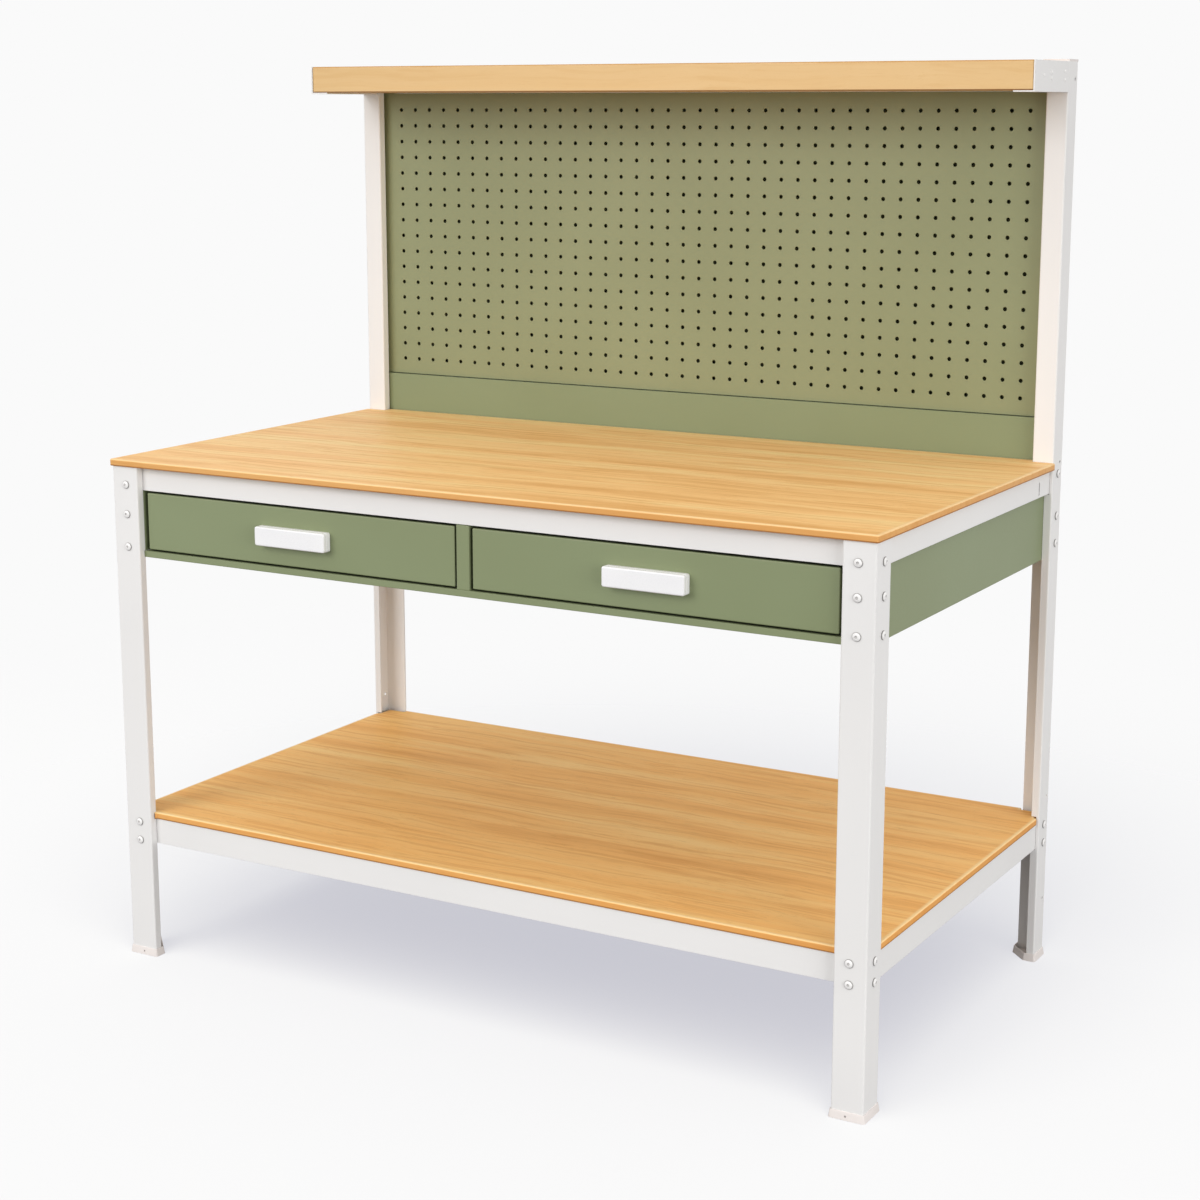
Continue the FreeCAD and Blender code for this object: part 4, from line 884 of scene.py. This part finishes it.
@dataclass
class DomedHeads(Pieces):
    """Domed bolt heads, each a profile turned about its axis.

    The profile's rows are radius, height, one in the hexagonal socket and the share of painted
    shade.
    """

    segments: int = 24
    sharp: float = 40.0
    profile_mm: tuple[tuple[float, float, int, float], ...] = (
        (3.0, -7.0, 0, 1), (3.0, 0.0, 0, 1), (5.3, 0.0, 0, 1), (5.35, 0.3, 0, 1),
        (6.0, 0.45, 0, 1), (6.0, 0.7, 0, 1), (5.85, 0.95, 0, 1), (5.5, 1.25, 0, 0.7),
        (5.0, 1.65, 0, 0), (4.2, 2.15, 0, 0), (3.2, 2.65, 0, 0), (2.4, 2.9, 0, 0),
        (2.3, 2.86, 1, 0.2), (2.15, 2.6, 1, 0.4), (2.15, 1.7, 1, 0.5), (0.6, 1.5, 1, 0.5))
    side_face_mm: float = 597.0
    end_face_mm: float = 337.0
    end_holes_mm: float = 573.0
    leg_holes_mm: float = 313.0
    upright_holes_mm: float = 320.0
    leg_levels_mm: tuple[float, ...] = (715.5, 672.5, 624.5)
    upright_levels_mm: tuple[float, ...] = (734.0, 672.5, 632.5)
    rear_levels_mm: tuple[float, ...] = (734.0,)
    shelf_levels_mm: tuple[float, ...] = (208.0, 180.0)

    def places(self) -> tuple[np.ndarray, np.ndarray]:
        """Places and head directions of the frame bolts, in the holes of the posts.

        Returns:
            Points under the heads and unit directions.
        """
        rows = [((hand * x, y, level), (hand * way_x, way_y, 0))
                for x, y, way_x, way_y, levels in (
                    (self.end_holes_mm, -self.end_face_mm, 0, -1, self.leg_levels_mm),
                    (self.side_face_mm, -self.leg_holes_mm, 1, 0, self.leg_levels_mm),
                    (self.side_face_mm, self.upright_holes_mm, 1, 0, self.upright_levels_mm),
                    (self.end_holes_mm, self.end_face_mm, 0, 1, self.rear_levels_mm))
                for hand in (-1, 1) for level in levels + self.shelf_levels_mm]
        centres, directions = np.array(rows, float).transpose(1, 0, 2)
        return centres * MM, directions

    def turned(self, centres: np.ndarray, directions: np.ndarray,
               profile: np.ndarray) -> tuple[np.ndarray, list]:
        """Copies of a turned profile.

        A point's place is the centre, plus its height along the direction, plus its radius along
        a circle across it. In the rows of the socket the radius follows a hexagon.

        Args:
            centres: Places of the copies.
            directions: Unit directions of their heads.
            profile: Rows in metres, from the shank on.

        Returns:
            Vertices and faces.
        """
        helper = np.where(np.abs(directions[:, 2:]) > 0.9, [[1.0, 0.0, 0.0]], [[0.0, 0.0, 1.0]])
        first = np.cross(helper, directions)
        first = first / np.linalg.norm(first, axis=1)[:, None]
        second = np.cross(directions, first)
        angle = np.arange(self.segments) * 2 * math.pi / self.segments
        around = (first[:, None] * np.cos(angle)[None, :, None]
                  + second[:, None] * np.sin(angle)[None, :, None])
        corner = np.abs(np.mod(angle, math.pi / 3) - math.pi / 6)
        hexagon = math.cos(math.pi / 6) / np.cos(math.pi / 6 - corner)
        radius = profile[:, :1] * np.where(profile[:, 2:3] > 0, hexagon[None], 1.0)
        vertices = (centres[:, None, None] + directions[:, None, None] * profile[None, :, None, 1:2]
                    + around[:, None] * radius[None, :, :, None])
        step = len(profile) * self.segments
        offsets = np.arange(len(centres)) * step
        quads = loop_faces(len(profile), self.segments)
        faces = (quads[None] + offsets[:, None, None]).reshape(-1, 4).tolist()
        cap = np.arange(self.segments)
        faces += (cap[None] + offsets[:, None] + step - self.segments).tolist()
        faces += (cap[None, ::-1] + offsets[:, None]).tolist()
        return vertices.reshape(-1, 3), faces

    def build(self) -> None:
        """Makes the frame bolts' heads with their shanks."""
        head = np.array(self.profile_mm) * (MM, MM, 1.0, 1.0)
        centres, directions = self.places()
        vertices, faces = self.turned(centres, directions, head)
        mesh = new_mesh("frame_bolt_heads", vertices, faces, self.sharp)
        # Each ring's share of painted shade, at the rim and in the socket.
        head_shade = np.tile(np.repeat(head[:, 3], self.segments), len(centres))
        mesh.attributes.new("thin_coat", "FLOAT", "POINT").data.foreach_set("value", head_shade)
        self.place("frame_bolt_heads", mesh, Body.BENCH, Slot.BOLT, "frame_bolts")


@dataclass
class Pegboard(Pieces):
    """The perforated sheet, whose punched holes have a slightly rolled edge."""

    columns: int = 40
    rows: int = 17
    pitch_across: float = 27.5 * MM
    pitch_up: float = 25.4 * MM
    lift: float = 24.6 * MM
    radius: float = 3.0 * MM
    roll: float = 0.35 * MM
    lap: float = 1.8 * MM
    sides: int = 16
    sharp: float = 40.0

    def build(self) -> None:
        """Makes the sheet as a grid of cells, each a ring of faces round its hole.

        A cell's rim is the unit square at the hole's angles, stretched to the middle between two
        holes, or to the sheet's edge. Five rings make a cell: its rim in front, the start of the
        rolled edge, the hole's wall in front and behind, and its rim behind.
        """
        low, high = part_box("pegboard_panel")
        top = high.z + self.lap
        angle = (0.25 + np.arange(self.sides) / self.sides) * 2 * math.pi
        circle = np.stack([np.cos(angle), np.sin(angle)], 1)
        square = circle / np.abs(circle).max(1, keepdims=True)
        across = (np.arange(self.columns) - (self.columns - 1) / 2) * self.pitch_across
        up = low.z + self.lift + np.arange(self.rows) * self.pitch_up
        rims = [self.spread(across, low.x, high.x, square[:, 0]),
                self.spread(up, low.z, top, square[:, 1])]
        shape = (self.columns, self.rows, self.sides)
        rim = np.stack([np.broadcast_to(rims[0][:, None], shape),
                        np.broadcast_to(rims[1][None], shape)], 3)
        centre = np.stack(np.meshgrid(across, up, indexing="ij"), 2)[:, :, None]
        rings = np.stack([rim, centre + circle * (self.radius + self.roll),
                          centre + circle * self.radius, centre + circle * self.radius, rim], 2)
        depth = low.y + np.array([0.0, 0.0, self.roll, high.y - low.y, high.y - low.y])
        level = np.broadcast_to(depth[:, None], rings.shape[:4])
        vertices = np.stack([rings[..., 0], level, rings[..., 1]], 4).reshape(-1, 3)
        step = len(depth) * self.sides
        offsets = np.arange(self.columns * self.rows)[:, None, None] * step
        quads = (loop_faces(len(depth), self.sides)[None, :, ::-1] + offsets).reshape(-1, 4)
        # Each side of a rim that lies on the sheet's limits gets a face across its thickness.
        here = np.arange(self.sides)
        there = (here + 1) % self.sides
        edge = np.stack([here, there, there + step - self.sides, here + step - self.sides], 1)
        flat = rim.reshape(-1, self.sides, 2)
        limits = np.array([[low.x, low.z], [high.x, top]])
        at_limit = np.isclose(flat[:, :, None, :], limits[None, None], atol=1e-6)
        outside = (at_limit & at_limit[:, there]).any((2, 3))
        edges = (edge[None] + offsets)[outside]
        vertices, faces = weld(vertices, np.concatenate([quads, edges]))
        mesh = new_mesh("pegboard_sheet", vertices, faces.tolist(), self.sharp)
        self.place("pegboard_sheet", mesh, Body.BENCH, Slot.PEG, "pegboard_panel")

    def spread(self, centres: np.ndarray, low: float, high: float,
               unit: np.ndarray) -> np.ndarray:
        """Places of the cells' rims along one way.

        Args:
            centres: Places of the holes.
            low: One edge of the sheet.
            high: The other edge.
            unit: Places of the unit square's points, from -1 to 1.

        Returns:
            A row of places for each hole.
        """
        middle = (centres[1:] + centres[:-1]) / 2
        before = centres - np.concatenate([[low], middle])
        after = np.concatenate([middle, [high]]) - centres
        reach = np.where(unit[None] > 0, after[:, None], before[:, None])
        return centres[:, None] + reach * unit[None]


@dataclass(frozen=True)
class Softbox:
    """A square area lamp: its place, the point that it faces, its watts and its side."""

    name: str
    start: tuple[float, float, float]
    target: tuple[float, float, float]
    power: float
    size: float = 2.4


@dataclass
class Studio:
    """Pale floor, soft light and the camera.

    The floor has a light of its own, so that it is even but for the bench's shadow.
    """

    camera_place: tuple[float, float, float] = (1.63121, -2.79744, 1.25153)
    turn: float = 29.90
    tilt: float = 11.42
    lens: float = 68.033
    sensor: float = 36.0
    shift: float = -0.03
    clip: tuple[float, float] = (0.05, 60.0)
    softboxes: tuple[Softbox, ...] = (
        Softbox("front_softbox", (-1.8, -3.9, 2.35), (0.0, 0.0, 0.7), 88.0),
        Softbox("side_softbox", (4.2, -2.0, 1.3), (0.0, 0.0, 0.6), 80.0))
    sky: float = 0.82
    ground: float = 0.02
    horizon: tuple[float, float] = (-0.2, 0.1)
    sun_strength: float = 6.0
    sun_width: float = 62.0
    sun_lean: float = 33.0
    sun_turn: float = 16.0
    background: str = "#FAFAFA"
    paper: str = "#676768"
    paper_lit: str = "#74736A"
    paper_glow: str = "#C4C5CF"
    floor_reach: float = 2.6
    floor_sides: int = 96
    fade_start: float = 0.75
    fade_end: float = 2.548

    def build(self) -> None:
        """Makes the camera, the world, the floor and the lamps."""
        scene = bpy.context.scene
        data = bpy.data.cameras.new("photo_view")
        data.sensor_width = self.sensor
        data.lens = self.lens
        data.shift_y = self.shift
        data.clip_start, data.clip_end = self.clip
        camera = bpy.data.objects.new("photo_view", data)
        camera.location = self.camera_place
        camera.rotation_euler = (math.radians(90 - self.tilt), 0.0, math.radians(self.turn))
        scene.collection.objects.link(camera)
        scene.camera = camera
        scene.view_settings.view_transform = "Standard"
        self.sky_light()
        floor = self.floor()
        for softbox in self.softboxes:
            data = bpy.data.lights.new(softbox.name, "AREA")
            data.size = softbox.size
            data.energy = softbox.power
            away = np.array(softbox.start) - np.array(softbox.target)
            lean = math.atan2(math.hypot(away[0], away[1]), away[2])
            turn = math.atan2(away[1], away[0]) + math.pi / 2
            self.hang(data, softbox.start, (lean, turn), floor, Reach.ALL_BUT_FLOOR)
        data = bpy.data.lights.new("floor_sun", "SUN")
        data.energy = self.sun_strength
        data.angle = math.radians(self.sun_width)
        way = (math.radians(self.sun_lean), math.radians(self.sun_turn))
        self.hang(data, (0.0, 0.0, 0.0), way, floor, Reach.FLOOR_ALONE)

    def hang(self, data: bpy.types.Light, start: tuple[float, float, float],
             way: tuple[float, float], floor: bpy.types.Object, reach: Reach) -> None:
        """Adds a lamp that lights the floor alone, or everything but the floor.

        Args:
            data: The lamp's light.
            start: Its place.
            way: Its lean from straight down, and its turn about the vertical, in radians.
            floor: The floor.
            reach: What it lights.
        """
        lamp = bpy.data.objects.new(data.name, data)
        lamp.location = start
        lamp.rotation_euler = (way[0], 0.0, way[1])
        bpy.context.scene.collection.objects.link(lamp)
        group = bpy.data.collections.new(lamp.name + "_reach")
        group.objects.link(floor)
        group.collection_objects[0].light_linking.link_state = reach.value
        lamp.light_linking.receiver_collection = group

    def sky_light(self) -> None:
        """A white world for the camera and for gloss, and a softer one for the light.

        The light's world is nearly dark below the horizon, where the floor sends back light of
        its own.
        """
        world = bpy.data.worlds.new("studio")
        bpy.context.scene.world = world
        world.use_nodes = True
        tree = world.node_tree
        tree.nodes.clear()
        rays = add(tree, "ShaderNodeLightPath", {}, {})
        mirrored_rays = add(tree, "ShaderNodeMath", {"operation": "MAXIMUM"}, {
            0: rays.outputs["Is Glossy Ray"], 1: rays.outputs["Is Transmission Ray"]})
        seen = add(tree, "ShaderNodeMath", {"operation": "MAXIMUM"}, {
            0: rays.outputs["Is Camera Ray"], 1: mirrored_rays.outputs["Value"]})
        way = add(tree, "ShaderNodeTexCoord", {}, {})
        height = add(tree, "ShaderNodeSeparateXYZ", {}, {0: way.outputs["Generated"]})
        level = add(tree, "ShaderNodeMapRange", {"interpolation_type": "SMOOTHSTEP"}, {
            "Value": height.outputs["Z"], "From Min": self.horizon[0],
            "From Max": self.horizon[1], "To Min": self.ground, "To Max": self.sky})
        light = add(tree, "ShaderNodeBackground", {}, {
            "Color": (1.0, 1.0, 1.0, 1.0), "Strength": level.outputs["Result"]})
        white = add(tree, "ShaderNodeBackground", {}, {"Color": linear(self.background)})
        mixed = add(tree, "ShaderNodeMixShader", {}, {
            0: seen.outputs["Value"], 1: light.outputs["Background"],
            2: white.outputs["Background"]})
        add(tree, "ShaderNodeOutputWorld", {}, {"Surface": mixed.outputs["Shader"]})

    def floor(self) -> bpy.types.Object:
        """A round pale floor that fades to the background, and keeps the bench's shadow.

        The camera sees a share that the sun lights and a share that glows. Together they are the
        background's white, and the glow is bluer, so that the shadow is a cool grey. To every
        other ray the floor is plain paper.

        Returns:
            The floor.
        """
        sides = self.floor_sides
        angle = np.arange(sides) * 2 * math.pi / sides
        rim = self.floor_reach * np.stack([np.cos(angle), np.sin(angle), np.zeros(sides)], 1)
        mesh = new_mesh("studio_floor", rim, [list(range(sides))])
        floor = bpy.data.objects.new("studio_floor", mesh)
        bpy.context.scene.collection.objects.link(floor)
        material, tree = blank("pale_seamless_paper")
        where = add(tree, "ShaderNodeTexCoord", {}, {})
        radius = add(tree, "ShaderNodeVectorMath", {"operation": "LENGTH"}, {
            0: where.outputs["Object"]})
        fade = add(tree, "ShaderNodeMapRange", {"interpolation_type": "SMOOTHSTEP"}, {
            "Value": radius.outputs["Value"], "From Min": self.fade_start,
            "From Max": self.fade_end})
        paper = add(tree, "ShaderNodeBsdfDiffuse", {}, {"Color": linear(self.paper)})
        lit = add(tree, "ShaderNodeBsdfDiffuse", {}, {"Color": linear(self.paper_lit)})
        glow = add(tree, "ShaderNodeEmission", {}, {"Color": linear(self.paper_glow)})
        both = add(tree, "ShaderNodeAddShader", {}, {
            0: lit.outputs["BSDF"], 1: glow.outputs["Emission"]})
        rays = add(tree, "ShaderNodeLightPath", {}, {})
        lifted = add(tree, "ShaderNodeMixShader", {}, {
            0: rays.outputs["Is Camera Ray"], 1: paper.outputs["BSDF"],
            2: both.outputs["Shader"]})
        clear = add(tree, "ShaderNodeBsdfTransparent", {}, {})
        mixed = add(tree, "ShaderNodeMixShader", {}, {
            0: fade.outputs["Result"], 1: lifted.outputs["Shader"], 2: clear.outputs["BSDF"]})
        add(tree, "ShaderNodeOutputMaterial", {}, {"Surface": mixed.outputs["Shader"]})
        mesh.materials.append(material)
        return floor


def dress_nodes(materials: Materials) -> None:
    """Gives every CAD node the material of its slot.

    Args:
        materials: The finished materials.
    """
    for row in frame["record"]["subparts"]:
        node = frame["nodes"][row["node"]]
        material = materials[Slot(row["material_slot"])]
        node.data.materials.clear()
        node.data.materials.append(material)
        log.info("%s: %s", row["node"], material.name)


def main() -> None:
    """Builds the pieces in order."""
    logging.basicConfig(level=logging.INFO, format="%(name)s %(message)s")
    materials = {slot: finish.build() for slot, finish in FINISHES.items()}
    dress_nodes(materials)
    Studio().build()
    for pieces in (Boards, PullHandles, ShoeFeet, DomedHeads, Pegboard):
        pieces(materials).build()


if __name__ == "__main__":
    main()
